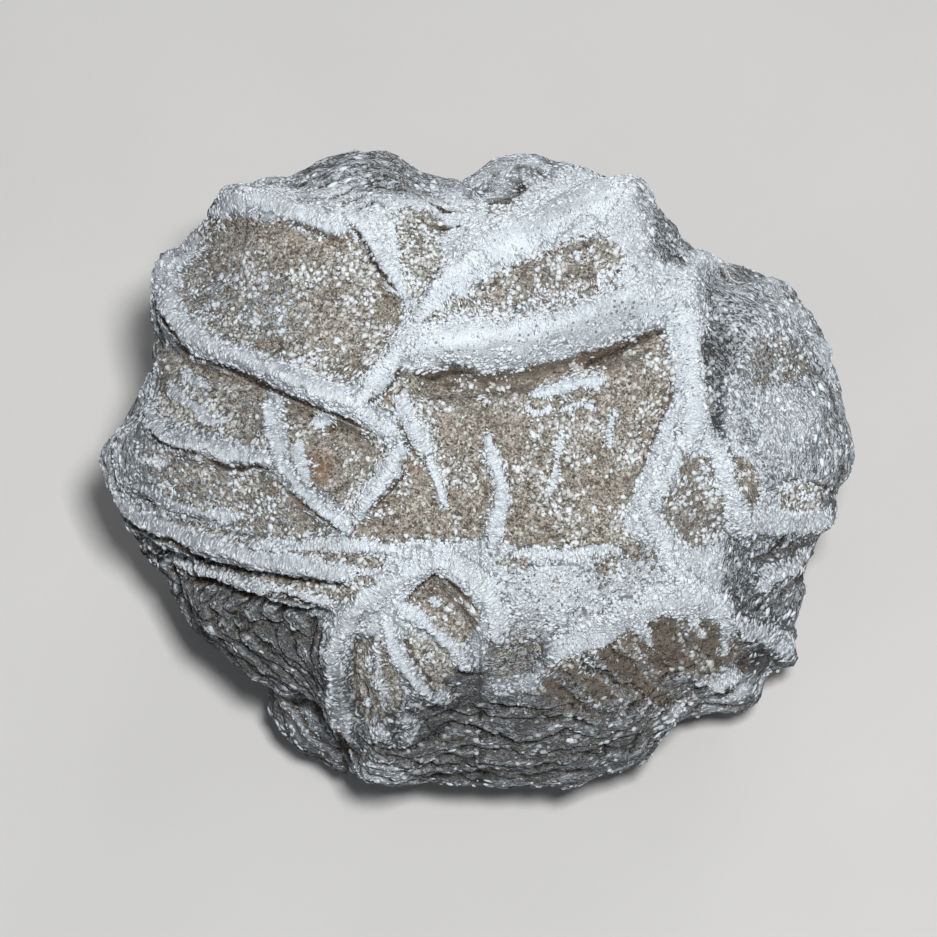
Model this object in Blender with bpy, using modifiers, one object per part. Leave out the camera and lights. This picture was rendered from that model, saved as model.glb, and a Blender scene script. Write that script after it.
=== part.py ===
"""Selenite rose: blades of sandy gypsum grown together into one stone, worn round.

Metres, +Z up. The stone lies on a small flat spot, and the origin is on the surface under the
middle of its bounding box. Its show face leans toward the front (-Y).

The stone is shaped in the frame of that show face, in millimetres: u runs right, v runs up the
face, and w comes straight out of it. Lens-shaped blades are joined by a remesh, the sides are
drawn in to the stone's outline, and then the rims, ledges, crevices and hollows that wear has
left between the blades are worked into the skin.
"""

import math

import bmesh
import bpy
import numpy as np
from mathutils import Euler, Matrix, Vector, noise

# ------------------------------------------------------------------ driving dimensions
MM = 0.001
FACE_ELEVATION = math.radians(70.0)  # the show face's normal, above the horizon
REST_HEIGHT = -15.9                  # the flat spot, below the middle of the show face, mm
JOIN_VOXEL = 0.42                    # mesh size at which the blades are joined, mm
JOIN_SMOOTHING = 20                  # rounds of smoothing that wear the joins down
FACES = 9000                         # triangles in the finished stone
STONE_NAME = "selenite_rose"
DOME = (25.0, 21.0, 15.0)            # half sizes of the dome that the whole stone follows, mm
SAND_COLOUR = (0.52, 0.49, 0.44, 1.0)
SAND_ROUGHNESS = 0.85

# Blades and lobes: name, centre (u, v, w), half sizes (u, v, w), turn about u, v and w.
BLADES = (
    ("heart", (0.0, -0.8, -1.8), (22.6, 19.2, 12.8), (0, 0, 0)),
    ("heart_crown", (-0.6, 0.4, 1.6), (18.5, 14.6, 9.8), (0, 0, 8)),
    ("upper_left_blade", (-11.4, 10.0, -0.4), (10.0, 8.6, 9.0), (-8, -14, 20)),
    ("top_left_hump", (-7.0, 14.0, -3.0), (9.4, 7.2, 8.0), (-20, 0, -6)),
    ("far_top_lobe", (4.0, 15.0, -8.0), (8.0, 6.6, 6.8), (0, 0, 0)),
    ("upper_right_hump", (7.8, 12.2, -1.0), (8.6, 6.8, 9.4), (-15, 12, 24)),
    ("right_lobe", (16.2, 5.2, -3.2), (8.8, 9.4, 9.0), (0, 15, 0)),
    ("right_heel", (16.2, -4.5, -3.6), (7.8, 7.6, 8.4), (0, 10, 0)),
    ("right_knob", (17.2, -10.2, -5.4), (4.8, 3.8, 5.4), (0, 0, -20)),
    ("right_toe", (14.2, -12.8, -6.6), (6.2, 3.8, 5.6), (0, 0, 14)),
    ("bottom_lip", (2.6, -13.4, -3.2), (11.6, 7.6, 8.6), (12, 0, 6)),
    ("arch_bulge", (-4.6, -10.4, 0.0), (8.2, 9.2, 8.4), (10, 0, 0)),
    ("lower_left_knob", (-10.8, -14.2, -6.0), (4.8, 5.6, 6.0), (0, 0, 30)),
    ("left_skirt", (-13.2, -5.4, -3.4), (11.2, 7.6, 7.8), (8, -6, -28)),
    ("left_shoulder", (-15.2, 2.4, -0.6), (9.8, 8.0, 8.8), (0, -10, -10)),
    ("back_left_blade", (-8.0, 4.0, -7.6), (13.0, 10.6, 5.2), (14, -18, 30)),
    ("back_right_blade", (7.4, 5.0, -7.8), (13.2, 10.4, 5.0), (16, 16, -20)),
    ("back_front_blade", (1.0, -6.0, -8.2), (13.6, 9.4, 5.4), (-16, 4, 8)),
    ("back_toe", (11.0, -5.0, -8.4), (9.8, 8.8, 4.8), (-10, 24, 12)),
    ("back_heel", (-11.0, -4.4, -8.6), (9.4, 8.6, 4.8), (-10, -24, -20)),
    ("foot", (0.0, -4.4, -12.8), (9.8, 9.0, 3.5), (-20, 0, 0)),
)

# The outline that the show face has when it is seen square on.
OUTLINE = (
    (-21.7, 12.6), (-21.2, 14.1), (-18.9, 15.9), (-17.7, 17.5), (-15.9, 18.9), (-13.2, 19.7),
    (-10.6, 20.5), (-8.6, 21.5), (-6.3, 21.5), (-4.6, 20.9), (-2.0, 19.8), (0.7, 21.3),
    (3.3, 21.5), (7.3, 20.5), (10.6, 19.5), (12.9, 16.6), (14.0, 15.2), (15.9, 14.6),
    (18.5, 13.7), (20.5, 12.8), (21.9, 11.3), (22.8, 9.6), (23.4, 7.6), (24.2, 5.3),
    (25.0, 2.0), (24.2, -1.7), (23.2, -3.3), (21.7, -6.0), (21.2, -8.9), (20.5, -9.6),
    (21.4, -11.6), (20.9, -12.8), (19.3, -13.6), (18.9, -14.8), (17.9, -15.7), (15.9, -16.1),
    (11.6, -17.2), (11.3, -18.2), (8.6, -19.9), (4.0, -20.9), (1.3, -20.9), (-2.6, -20.5),
    (-8.6, -20.4), (-9.9, -19.9), (-11.9, -17.9), (-13.9, -15.9), (-14.7, -13.6),
    (-16.2, -12.3), (-19.2, -9.7), (-20.9, -7.6), (-23.2, -4.0), (-24.2, -2.0), (-25.0, 0.3),
    (-24.8, 1.7), (-23.8, 3.3), (-22.0, 6.6), (-22.0, 8.3), (-21.5, 9.6),
)

# Rims of the blades where they come out at the show face: points (u, v), width, height.
RIMS = (
    ("upper_left_blade_rim", ((-17.1, 18.2), (-19.4, 16.8), (-20.7, 14.9), (-21.1, 12.6),
                              (-20.7, 10.4), (-18.5, 8.6), (-14.6, 7.1), (-10.6, 5.3),
                              (-6.3, 3.0)), 2.1, 1.2),
    ("upper_left_blade_top", ((-17.5, 17.9), (-12.9, 17.0), (-9.9, 16.6), (-7.4, 15.6),
                              (-6.3, 13.9), (-4.8, 11.8)), 1.9, 1.0),
    ("crossing_rim", ((-7.8, 4.8), (-5.0, 7.7), (-3.3, 10.1), (-2.0, 12.4), (0.0, 14.4)),
     1.9, 1.0),
    ("upper_right_hump_crest", ((0.0, 14.4), (5.3, 16.4), (10.4, 18.0)), 3.6, 1.0),
    ("middle_band", ((-5.6, 6.8), (-2.0, 8.0), (2.6, 9.0), (7.9, 10.0), (13.6, 11.6)),
     3.0, 1.5),
    ("right_rim", ((13.8, 11.6), (13.4, 7.0), (13.0, 3.6), (11.4, -0.6), (10.2, -2.6),
                   (11.4, -4.4), (12.6, -7.4)), 2.0, 1.2),
    ("right_rim_branch", ((13.2, 4.4), (14.8, 1.6), (16.4, -0.6), (17.2, -3.4)), 1.7, 0.7),
    ("dish_blade_1", ((-5.3, 5.0), (-4.5, 4.2), (-3.6, 2.0), (-2.6, -1.7)), 1.2, 0.6),
    ("dish_blade_2", ((0.5, 1.7), (1.3, -0.3), (1.3, -1.7), (0.7, -4.3)), 1.4, 0.7),
    ("dish_blade_3", ((3.0, 5.0), (5.3, 5.6), (7.9, 6.0)), 1.1, 0.5),
    ("left_cell_blade_1", ((-5.0, 1.3), (-6.3, -0.7), (-7.6, -2.5)), 1.6, 0.9),
    ("left_cell_blade_2", ((-13.8, 5.0), (-13.4, 3.0), (-12.7, 0.7), (-11.3, -1.3),
                           (-8.6, -3.1)), 1.4, 0.8),
    ("ledge_rim_1", ((-21.7, 4.3), (-20.9, 3.0), (-19.5, 2.0), (-17.9, 1.7), (-15.6, 0.8),
                     (-13.2, 1.0)), 1.6, 0.8),
    ("ledge_rim_2", ((-24.2, -1.6), (-22.5, -2.6), (-19.2, -3.9), (-15.9, -4.8),
                     (-11.9, -5.6), (-8.3, -6.1)), 2.0, 1.1),
    ("ledge_rim_3", ((-11.9, -4.7), (-8.6, -4.5), (-5.6, -4.6)), 1.2, 0.5),
    ("ledge_rim_4", ((-20.4, -6.2), (-16.4, -7.0), (-12.4, -7.9), (-9.4, -8.5)), 1.1, 0.5),
    ("arch", ((-8.3, -17.6), (-9.3, -14.9), (-9.6, -12.3), (-9.4, -10.6), (-8.2, -8.3),
              (-6.3, -6.8), (-4.0, -5.6), (-2.6, -5.4), (-0.7, -7.2), (0.4, -8.9),
              (0.8, -11.2)), 2.0, 1.1),
    ("arch_blade_1", ((-6.8, -9.6), (-5.6, -10.9), (-4.6, -12.6), (-3.0, -14.2)), 1.0, 0.6),
    ("arch_blade_2", ((-5.0, -8.3), (-3.3, -9.6), (-1.7, -11.3)), 1.0, 0.6),
    ("broad_shelf", ((1.6, -6.4), (6.0, -7.2), (10.6, -7.4), (14.6, -6.2)), 4.6, 0.9),
    ("skirt_ledge_1", ((-20.6, -7.4), (-16.4, -9.6), (-12.0, -11.6), (-9.8, -12.2)), 1.6, 0.5),
    ("skirt_ledge_2", ((-18.4, -9.6), (-15.6, -11.8), (-12.6, -13.4)), 1.4, 0.6),
    ("bottom_ledge", ((-7.0, -17.6), (-1.0, -18.2), (5.0, -17.6), (10.4, -15.6)), 2.2, 0.2),
)

# Crevices under the rims, where one blade overhangs the next: points (u, v), width, depth.
CREVICES = (
    ("under_upper_left_blade", ((-21.0, 8.9), (-18.9, 7.2), (-15.0, 5.7), (-11.0, 4.0),
                                (-6.9, 1.9)), 1.2, 1.0),
    ("beside_blade_top", ((-8.2, 14.7), (-7.1, 13.2), (-5.5, 11.0)), 1.0, 0.7),
    ("under_middle_band", ((-4.6, 6.0), (-0.7, 6.3), (3.3, 6.9), (7.3, 8.0), (11.5, 9.3)),
     2.2, 1.9),
    ("inside_right_rim", ((11.8, 8.6), (11.7, 4.6), (10.2, 1.0), (9.0, -1.8)), 1.6, 0.8),
    ("outside_right_rim", ((15.4, 9.4), (15.5, 6.0), (15.8, 3.4), (17.4, 0.8)), 2.4, 1.4),
    ("under_ledge_1", ((-21.4, 2.6), (-19.9, 0.9), (-17.9, 0.5), (-15.6, -0.4),
                       (-13.4, -0.1)), 1.0, 0.7),
    ("under_ledge_2", ((-23.6, -3.2), (-20.6, -5.0), (-17.4, -6.3), (-12.6, -6.9),
                       (-8.6, -7.3)), 0.9, 0.8),
    ("under_ledge_3", ((-23.2, -4.3), (-20.4, -5.9), (-19.2, -6.9), (-16.2, -7.9),
                       (-12.6, -8.8), (-8.9, -9.2)), 1.2, 1.5),
    ("skirt_crevice_1", ((-21.8, -6.6), (-18.0, -8.8), (-14.6, -9.8), (-12.0, -10.2)),
     1.1, 0.7),
    ("skirt_crevice_2", ((-19.6, -9.0), (-16.6, -11.0), (-13.6, -12.6)), 1.0, 0.7),
    ("beside_knob", ((-12.6, -14.7), (-10.9, -15.9), (-8.9, -17.5), (-8.4, -20.0)), 1.4, 1.4),
    ("inside_arch_foot", ((-7.6, -10.4), (-8.0, -13.2), (-7.3, -16.0)), 1.3, 0.8),
    ("right_lobe_crease", ((17.6, -1.6), (20.4, -1.2), (24.6, -1.0)), 1.2, 0.6),
    ("above_bottom_ledge", ((-6.6, -15.8), (-1.0, -16.4), (4.8, -15.9), (10.6, -13.8),
                            (15.0, -11.6)), 1.2, 0.35),
    ("above_right_toe", ((11.0, -15.8), (15.0, -13.9), (18.6, -11.8), (20.6, -9.8)), 1.2, 0.6),
    ("between_top_lobes", ((-4.6, 20.6), (-2.6, 18.8), (1.4, 18.8), (6.0, 20.2)), 1.6, 1.0),
)

# Hollows between the rims, and swellings: centre (u, v), half sizes, turn, depth (- is down).
HOLLOWS = (
    ("upper_left_dish", (-12.8, 11.4), (7.4, 5.0), -22, -1.0),
    ("upper_right_valley", (3.6, 12.0), (6.8, 2.0), 14, -1.2),
    ("middle_dish", (4.0, 1.4), (8.6, 6.2), 6, -1.3),
    ("left_cell", (-9.6, 1.2), (3.6, 3.4), 0, -0.6),
    ("ledge_floor", (-17.6, -1.0), (5.0, 1.5), -14, -0.4),
    ("right_lobe_dish", (20.4, 6.6), (2.6, 3.6), 0, -0.6),
    ("arch_pocket", (-2.8, -9.2), (2.3, 3.2), 20, -0.7),
    ("lower_right_dish", (10.4, -11.8), (6.6, 3.4), 14, -0.55),
    ("left_edge_swell", (-23.0, 0.8), (2.6, 2.8), 0, 0.6),
    ("lower_arch_lump_1", (-6.3, -16.6), (1.3, 1.1), 0, 0.6),
    ("lower_arch_lump_2", (-4.4, -15.6), (1.2, 0.9), 0, 0.5),
)

# Rims on the back, seen through the stone from the show face, each with a crevice beside it.
BACK_RIMS = (
    ("back_long_rim", ((-22.5, 4.0), (-16.0, 7.4), (-9.0, 8.2), (-3.0, 5.6), (2.0, 1.0)),
     2.2, 1.2),
    ("back_top_rim", ((-8.6, 19.0), (-5.4, 13.6), (-4.0, 7.0)), 2.0, 1.0),
    ("back_right_rim", ((2.0, 1.0), (8.0, 4.4), (14.4, 5.2), (22.4, 2.2)), 2.3, 1.2),
    ("back_centre_rim", ((2.0, 1.0), (0.6, -4.6), (3.0, -10.6), (8.6, -17.4)), 2.1, 1.0),
    ("back_left_rim", ((-22.6, -4.4), (-15.4, -4.4), (-8.8, -2.6), (-4.4, 2.0)), 2.0, 1.0),
    ("back_upper_rim", ((7.0, 19.0), (9.2, 12.4), (8.0, 5.0)), 2.0, 1.0),
    ("back_skirt_rim", ((-17.0, -11.4), (-11.0, -8.4), (-6.6, -10.0), (-4.0, -17.6)), 1.9, 0.9),
    ("back_toe_rim", ((19.6, -8.6), (14.0, -6.0), (8.6, -6.4), (3.0, -10.6)), 2.0, 1.0),
)
BACK_CREVICE_OFFSET = 1.7   # from the middle of a back rim to the middle of its crevice, mm
BACK_HOLLOWS = (
    ("back_left_dish", (-13.0, 1.4), (5.6, 3.4), -8, -0.9),
    ("back_top_dish", (1.6, 11.6), (4.4, 5.0), 0, -0.9),
    ("back_upper_left_dish", (-12.4, 12.2), (4.4, 3.0), 24, -0.8),
    ("back_right_dish", (14.8, -0.6), (5.0, 3.2), 8, -0.9),
    ("back_upper_right_dish", (15.4, 10.0), (4.0, 3.2), -26, -0.8),
    ("back_toe_dish", (11.0, -11.4), (4.4, 2.8), 26, -0.8),
)


# Stacked blades whose edges make the sides and the back: the way that each stack faces, the
# direction in which its blades are stacked (u, v, w), the step from blade to blade, height.
STACKS = (
    ("right", (1.0, 0.1, -0.3), (0.15, 0.55, 0.9), 3.2, 0.9),
    ("upper_right", (0.7, 0.7, -0.4), (0.7, -0.7, 0.5), 2.9, 0.9),
    ("top", (-0.1, 1.0, -0.3), (0.45, 0.2, 1.0), 3.1, 0.9),
    ("upper_left", (-0.8, 0.6, -0.2), (0.5, 0.5, -0.7), 3.3, 0.9),
    ("lower_left", (-0.8, -0.6, -0.2), (0.30, 0.50, 0.85), 2.5, 0.8),
    ("bottom", (0.0, -1.0, -0.2), (0.05, 0.35, 1.0), 2.8, 0.7),
    ("lower_right", (0.7, -0.7, -0.3), (-0.2, 0.45, 0.9), 2.6, 0.8),
    ("back_left", (-0.6, 0.1, -0.8), (0.3, 1.0, 0.25), 3.6, 0.9),
    ("back_right", (0.6, 0.2, -0.8), (1.0, -0.2, 0.3), 3.8, 0.9),
    ("back_middle", (0.1, -0.5, -0.9), (0.7, 0.7, 0.1), 3.4, 0.8),
)
FOOT_CENTRE = (0.0, -5.5, -15.3)  # middle of the flat spot, which stays clear of ledges
FOOT_CLEAR = (6.0, 10.5)    # radii between which the ledges fade in round the foot, mm
STACK_WAVINESS = 0.35       # how far the blades' edges wander, as a share of the step


def clear_scene():
    """Remove every object, so that the stone is built in an empty scene."""
    for thing in list(bpy.data.objects):
        bpy.data.objects.remove(thing, do_unlink=True)


def face_frame():
    """Give the turn from the show face's (u, v, w) to the world's (x, y, z)."""
    u = Vector((1.0, 0.0, 0.0))
    v = Vector((0.0, math.sin(FACE_ELEVATION), math.cos(FACE_ELEVATION)))
    w = Vector((0.0, -math.cos(FACE_ELEVATION), math.sin(FACE_ELEVATION)))
    return Matrix((u, v, w)).transposed()


def joined_blades(collection):
    """Make the blades as flattened spheres and join them into one closed skin."""
    balls = bmesh.new()
    for _, centre, half_sizes, turn in BLADES:
        spin = Euler([math.radians(angle) for angle in turn]).to_matrix().to_4x4()
        place = Matrix.Translation(centre) @ spin @ Matrix.Diagonal((*half_sizes, 1.0))
        bmesh.ops.create_icosphere(balls, subdivisions=4, radius=1.0, matrix=place)
    mesh = bpy.data.meshes.new("blades")
    balls.to_mesh(mesh)
    balls.free()
    blades = bpy.data.objects.new("blades", mesh)
    collection.objects.link(blades)
    join = blades.modifiers.new("join", "REMESH")
    join.mode = "VOXEL"
    join.voxel_size = JOIN_VOXEL
    wear = blades.modifiers.new("wear", "SMOOTH")
    wear.factor = 0.5
    wear.iterations = JOIN_SMOOTHING
    skin = baked_mesh(blades)
    bpy.data.objects.remove(blades, do_unlink=True)
    drop_enclosed_gaps(skin)
    return skin


def drop_enclosed_gaps(mesh):
    """Keep the outer skin, and remove the small skins of gaps shut in between blades."""
    skin = bmesh.new()
    skin.from_mesh(mesh)
    left = set(skin.verts)
    bodies = []
    while left:
        body = {left.pop()}
        front = list(body)
        while front:
            point = front.pop()
            for edge in point.link_edges:
                other = edge.other_vert(point)
                if other in left:
                    left.remove(other)
                    body.add(other)
                    front.append(other)
        bodies.append(body)
    bodies.sort(key=len)
    bmesh.ops.delete(skin, geom=[point for body in bodies[:-1] for point in body],
                     context="VERTS")
    skin.to_mesh(mesh)
    skin.free()


def baked_mesh(thing):
    """Give a new mesh that is the object with its modifiers applied."""
    bpy.context.view_layer.update()
    graph = bpy.context.evaluated_depsgraph_get()
    return bpy.data.meshes.new_from_object(thing.evaluated_get(graph), depsgraph=graph)


def positions(mesh):
    """Read a mesh's points as an array of rows."""
    flat = np.empty(len(mesh.vertices) * 3)
    mesh.vertices.foreach_get("co", flat)
    return flat.reshape(-1, 3)


def normals(mesh):
    """Read the normal at each of a mesh's points."""
    flat = np.empty(len(mesh.vertices) * 3)
    mesh.vertex_normals.foreach_get("vector", flat)
    return flat.reshape(-1, 3)


def move_points(mesh, points):
    """Write a mesh's points back."""
    mesh.vertices.foreach_set("co", np.ascontiguousarray(points).ravel())
    mesh.update()


def smoothstep(value, low, high):
    """Rise from 0 at low to 1 at high with soft ends."""
    t = np.clip((value - low) / (high - low), 0.0, 1.0)
    return t * t * (3.0 - 2.0 * t)


def fit_outline(mesh):
    """Scale each point's distance from the middle so that the stone's limb is the outline."""
    points = positions(mesh)
    angle = np.arctan2(points[:, 1], points[:, 0])
    radius = np.hypot(points[:, 0], points[:, 1])
    bins = 180
    index = ((angle + math.pi) / (2 * math.pi) * bins).astype(int) % bins
    reach = np.zeros(bins)
    np.maximum.at(reach, index, radius)
    centres = (np.arange(bins) + 0.5) / bins * 2 * math.pi - math.pi
    outline = np.array(OUTLINE)
    outline_angle = np.arctan2(outline[:, 1], outline[:, 0])
    order = np.argsort(outline_angle)
    wanted = np.interp(centres, outline_angle[order], np.hypot(*outline[order].T),
                       period=2 * math.pi)
    stretch = np.interp(angle, centres, wanted / reach, period=2 * math.pi)
    share = smoothstep(radius / np.interp(angle, centres, reach, period=2 * math.pi), 0.0, 0.9)
    scale = 1.0 + (stretch - 1.0) * share
    points[:, :2] *= scale[:, None]
    move_points(mesh, points)


def line_distance(points, line):
    """Give each point's distance to a line of points, and how far along the line it is."""
    line = np.array(line, dtype=float)
    lengths = np.hypot(*(line[1:] - line[:-1]).T)
    starts = np.concatenate(([0.0], np.cumsum(lengths)))
    nearest = np.full(len(points), 1e9)
    along = np.zeros(len(points))
    for start, end, length, before in zip(line[:-1], line[1:], lengths, starts):
        way = (end - start) / length
        offset = points - start
        step = np.clip(offset @ way, 0.0, length)
        gap = np.hypot(*(offset - step[:, None] * way).T)
        closer = gap < nearest
        nearest[closer] = gap[closer]
        along[closer] = (before + step[closer]) / starts[-1]
    return nearest, along


def smooth_line(line, pieces=5):
    """Round a line of points off with a Catmull-Rom curve through them."""
    line = [np.array(point, dtype=float) for point in line]
    ends = [2 * line[0] - line[1]] + line + [2 * line[-1] - line[-2]]
    curve = []
    for a, b, c, d in zip(ends, ends[1:], ends[2:], ends[3:]):
        for step in range(pieces):
            t = step / pieces
            curve.append(0.5 * (2 * b + (c - a) * t + (2 * a - 5 * b + 4 * c - d) * t ** 2
                                + (3 * b - a - 3 * c + d) * t ** 3))
    curve.append(line[-1])
    return curve


def stroke_profile(points, line, width):
    """Give a stroke's strength at each point: 1 on the line, 0 past half the width."""
    nearest, along = line_distance(points, smooth_line(line))
    ends = smoothstep(np.minimum(along, 1.0 - along), -0.04, 0.08)
    across = np.clip(1.0 - (nearest / (0.62 * width)) ** 2, 0.0, 1.0)
    return across ** 1.2 * ends


def offset_line(line, distance):
    """Move a line of points sideways by a distance, to its right."""
    line = np.array(line, dtype=float)
    way = np.gradient(line, axis=0)
    way /= np.hypot(*way.T)[:, None]
    return line + distance * np.column_stack((way[:, 1], -way[:, 0]))


def dome_normals(points):
    """Give the outward direction at each point of the dome that the stone follows."""
    way = points / np.array(DOME) ** 2
    return way / np.linalg.norm(way, axis=1)[:, None]


def away_from_foot(points):
    """Give 0 on the foot that the stone rests on, rising to 1 beside it."""
    return smoothstep(np.linalg.norm(points - np.array(FOOT_CENTRE), axis=1), *FOOT_CLEAR)


def work_skin(mesh, side, rims, crevices, hollows):
    """Raise the rims, cut the crevices and sink the hollows of one side of the stone.

    The side is 1 for the show face and -1 for the back.
    """
    points = positions(mesh)
    outward = dome_normals(points)
    facing = smoothstep(side * normals(mesh)[:, 2], -0.1, 0.3)
    plan = points[:, :2].copy()
    lift = np.zeros(len(points))
    for _, (u, v), (half_u, half_v), turn, depth in hollows:
        c, s = math.cos(math.radians(turn)), math.sin(math.radians(turn))
        du, dv = plan[:, 0] - u, plan[:, 1] - v
        reach = np.hypot((du * c + dv * s) / half_u, (-du * s + dv * c) / half_v)
        lift += depth * (1.0 - smoothstep(reach, 0.55, 1.12))
    for _, line, width, depth in crevices:
        lift -= depth * stroke_profile(plan, line, width)
    for _, line, width, height in rims:
        lift += height * stroke_profile(plan, line, width)
    points += outward * (lift * facing * away_from_foot(points))[:, None]
    move_points(mesh, points)


def stack_sides(mesh):
    """Step the sides and the back like stacks of blades, each rim overhanging the next."""
    points = positions(mesh)
    outward = dome_normals(points)
    away = 1.0 - smoothstep(outward[:, 2], 0.05, 0.5)
    wander = np.array([noise.fractal(Vector(point) * 0.11, 1.0, 2.0, 2) for point in points])
    closeness = []
    lifts = []
    for _, facing, stacking, step, height in STACKS:
        facing, stacking = (np.array(way) / np.linalg.norm(way) for way in (facing, stacking))
        closeness.append(outward @ facing)
        place = (points @ stacking / step + STACK_WAVINESS * wander) % 1.0
        lifts.append(height * (smoothstep(place, 0.0, 0.22) - smoothstep(place, 0.5, 1.0) - 0.4))
    share = np.exp(18.0 * (np.array(closeness) - np.max(closeness, axis=0)))
    lift = (share * np.array(lifts)).sum(axis=0) / share.sum(axis=0)
    points += outward * (lift * away * away_from_foot(points))[:, None]
    move_points(mesh, points)


def roughen(mesh):
    """Give the skin the shallow lumps and pits of a sandy, weathered stone."""
    points = positions(mesh)
    outward = dome_normals(points)
    lumps = np.array([noise.fractal(Vector(point) * 0.42, 0.9, 2.1, 3) for point in points])
    points += outward * (0.28 * lumps)[:, None]
    move_points(mesh, points)


def cut_flat_spot(mesh):
    """Cut the stone off at the resting height, which leaves one flat face below."""
    down = bmesh.new()
    down.from_mesh(mesh)
    geometry = down.verts[:] + down.edges[:] + down.faces[:]
    floor = Vector((0.0, 0.0, REST_HEIGHT * MM))
    cut = bmesh.ops.bisect_plane(down, geom=geometry, plane_co=floor, plane_no=(0, 0, -1),
                                 clear_outer=True, dist=1e-6)
    rim = [edge for edge in cut["geom_cut"] if isinstance(edge, bmesh.types.BMEdge)]
    bmesh.ops.triangle_fill(down, edges=rim, use_beauty=True)
    bmesh.ops.triangulate(down, faces=[face for face in down.faces if len(face.verts) > 3])
    bmesh.ops.recalc_face_normals(down, faces=down.faces)
    down.to_mesh(mesh)
    down.free()


def stand_on_origin(mesh):
    """Put the middle of the stone's bounding box above the origin, and its flat spot at 0."""
    points = positions(mesh)
    low, high = points.min(axis=0), points.max(axis=0)
    shift = np.array(((low[0] + high[0]) / 2, (low[1] + high[1]) / 2, low[2]))
    move_points(mesh, points - shift)
    print("box middle and floor, mm:", shift / MM, "size, mm:", (high - low) / MM)


def sandy_gypsum():
    """Make the stone's material: matt, sandy and off-white."""
    material = bpy.data.materials.new("sandy_gypsum")
    material.use_nodes = True
    shader = material.node_tree.nodes["Principled BSDF"]
    shader.inputs["Base Color"].default_value = SAND_COLOUR
    shader.inputs["Roughness"].default_value = SAND_ROUGHNESS
    shader.inputs["Metallic"].default_value = 0.0
    return material


def reduced(mesh, collection):
    """Thin the skin to the stone's number of triangles, keeping its shape."""
    thing = bpy.data.objects.new("fine_skin", mesh)
    collection.objects.link(thing)
    triangles = thing.modifiers.new("triangles", "TRIANGULATE")
    triangles.quad_method = "BEAUTY"
    thin = thing.modifiers.new("thin", "DECIMATE")
    thin.ratio = FACES / (2 * len(mesh.polygons))
    result = baked_mesh(thing)
    bpy.data.objects.remove(thing, do_unlink=True)
    return result


def main():
    """Build the stone."""
    clear_scene()
    collection = bpy.data.collections.new("selenite rose")
    bpy.context.scene.collection.children.link(collection)
    skin = joined_blades(collection)
    stack_sides(skin)
    fit_outline(skin)
    work_skin(skin, 1, RIMS, CREVICES, HOLLOWS)
    back_crevices = [(name, offset_line(line, BACK_CREVICE_OFFSET), width / 2, height)
                     for name, line, width, height in BACK_RIMS]
    work_skin(skin, -1, BACK_RIMS, back_crevices, BACK_HOLLOWS)
    roughen(skin)
    skin = reduced(skin, collection)
    skin.transform(face_frame().to_4x4() @ Matrix.Diagonal((MM, MM, MM, 1.0)))
    cut_flat_spot(skin)
    stand_on_origin(skin)
    skin.name = STONE_NAME
    skin.materials.clear()
    skin.materials.append(sandy_gypsum())
    skin.shade_smooth()
    stone = bpy.data.objects.new(STONE_NAME, skin)
    collection.objects.link(stone)


main()
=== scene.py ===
"""Dress the selenite rose: a compact stone of intergrown sandy gypsum blades, worn round.

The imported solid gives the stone's form. Here its skin is made finer, the rims, crevices and
layers of the blades are sharpened, and the white gypsum crust, the brown sand between the
blades and the loose flakes on it are laid on as small lumps. Everything is shaped in the frame
of the show face, in millimetres: u runs right, v runs up the face, w comes straight out of it.
"""

import itertools
import logging
import math
from dataclasses import dataclass, field
from enum import Enum
from typing import Any

import bmesh
import bpy
import numpy as np
from mathutils import Matrix, Vector


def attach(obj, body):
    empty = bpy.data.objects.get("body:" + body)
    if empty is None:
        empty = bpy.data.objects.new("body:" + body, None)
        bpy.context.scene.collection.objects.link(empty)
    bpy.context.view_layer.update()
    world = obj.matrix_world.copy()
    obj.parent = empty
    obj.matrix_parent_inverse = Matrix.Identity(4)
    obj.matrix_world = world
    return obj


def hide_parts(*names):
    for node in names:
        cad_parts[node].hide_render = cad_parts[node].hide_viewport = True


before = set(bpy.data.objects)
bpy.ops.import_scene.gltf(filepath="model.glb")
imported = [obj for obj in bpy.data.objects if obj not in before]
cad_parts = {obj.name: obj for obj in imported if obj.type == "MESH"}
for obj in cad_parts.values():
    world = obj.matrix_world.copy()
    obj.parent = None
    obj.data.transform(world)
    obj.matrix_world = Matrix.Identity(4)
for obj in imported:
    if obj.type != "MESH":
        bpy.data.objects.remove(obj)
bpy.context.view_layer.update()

log = logging.getLogger("selenite_rose")

STONE_NODE = "selenite_rose"
BODY = "root"
MM = 0.001
BAKE_LAYER = "OFBake"

Point = tuple[float, float]
Colour = tuple[float, float, float]


@dataclass(frozen=True)
class ShowFace:
    """The frame of the stone's show face in the world."""

    elevation: float = math.radians(70.0)
    origin: tuple[float, float, float] = (0.217, -1.791, 15.901)

    def turn(self) -> Matrix:
        """Give the turn from the show face's directions to the world's."""
        c, s = math.cos(self.elevation), math.sin(self.elevation)
        return Matrix(((1, 0, 0), (0, s, -c), (0, c, s)))

    def matrix(self) -> Matrix:
        """Give the transform from the show face's millimetres to the world's metres."""
        place = Matrix.Translation(Vector(self.origin) * MM)
        return place @ self.turn().to_4x4() @ Matrix.Diagonal((MM, MM, MM, 1.0))


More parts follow.
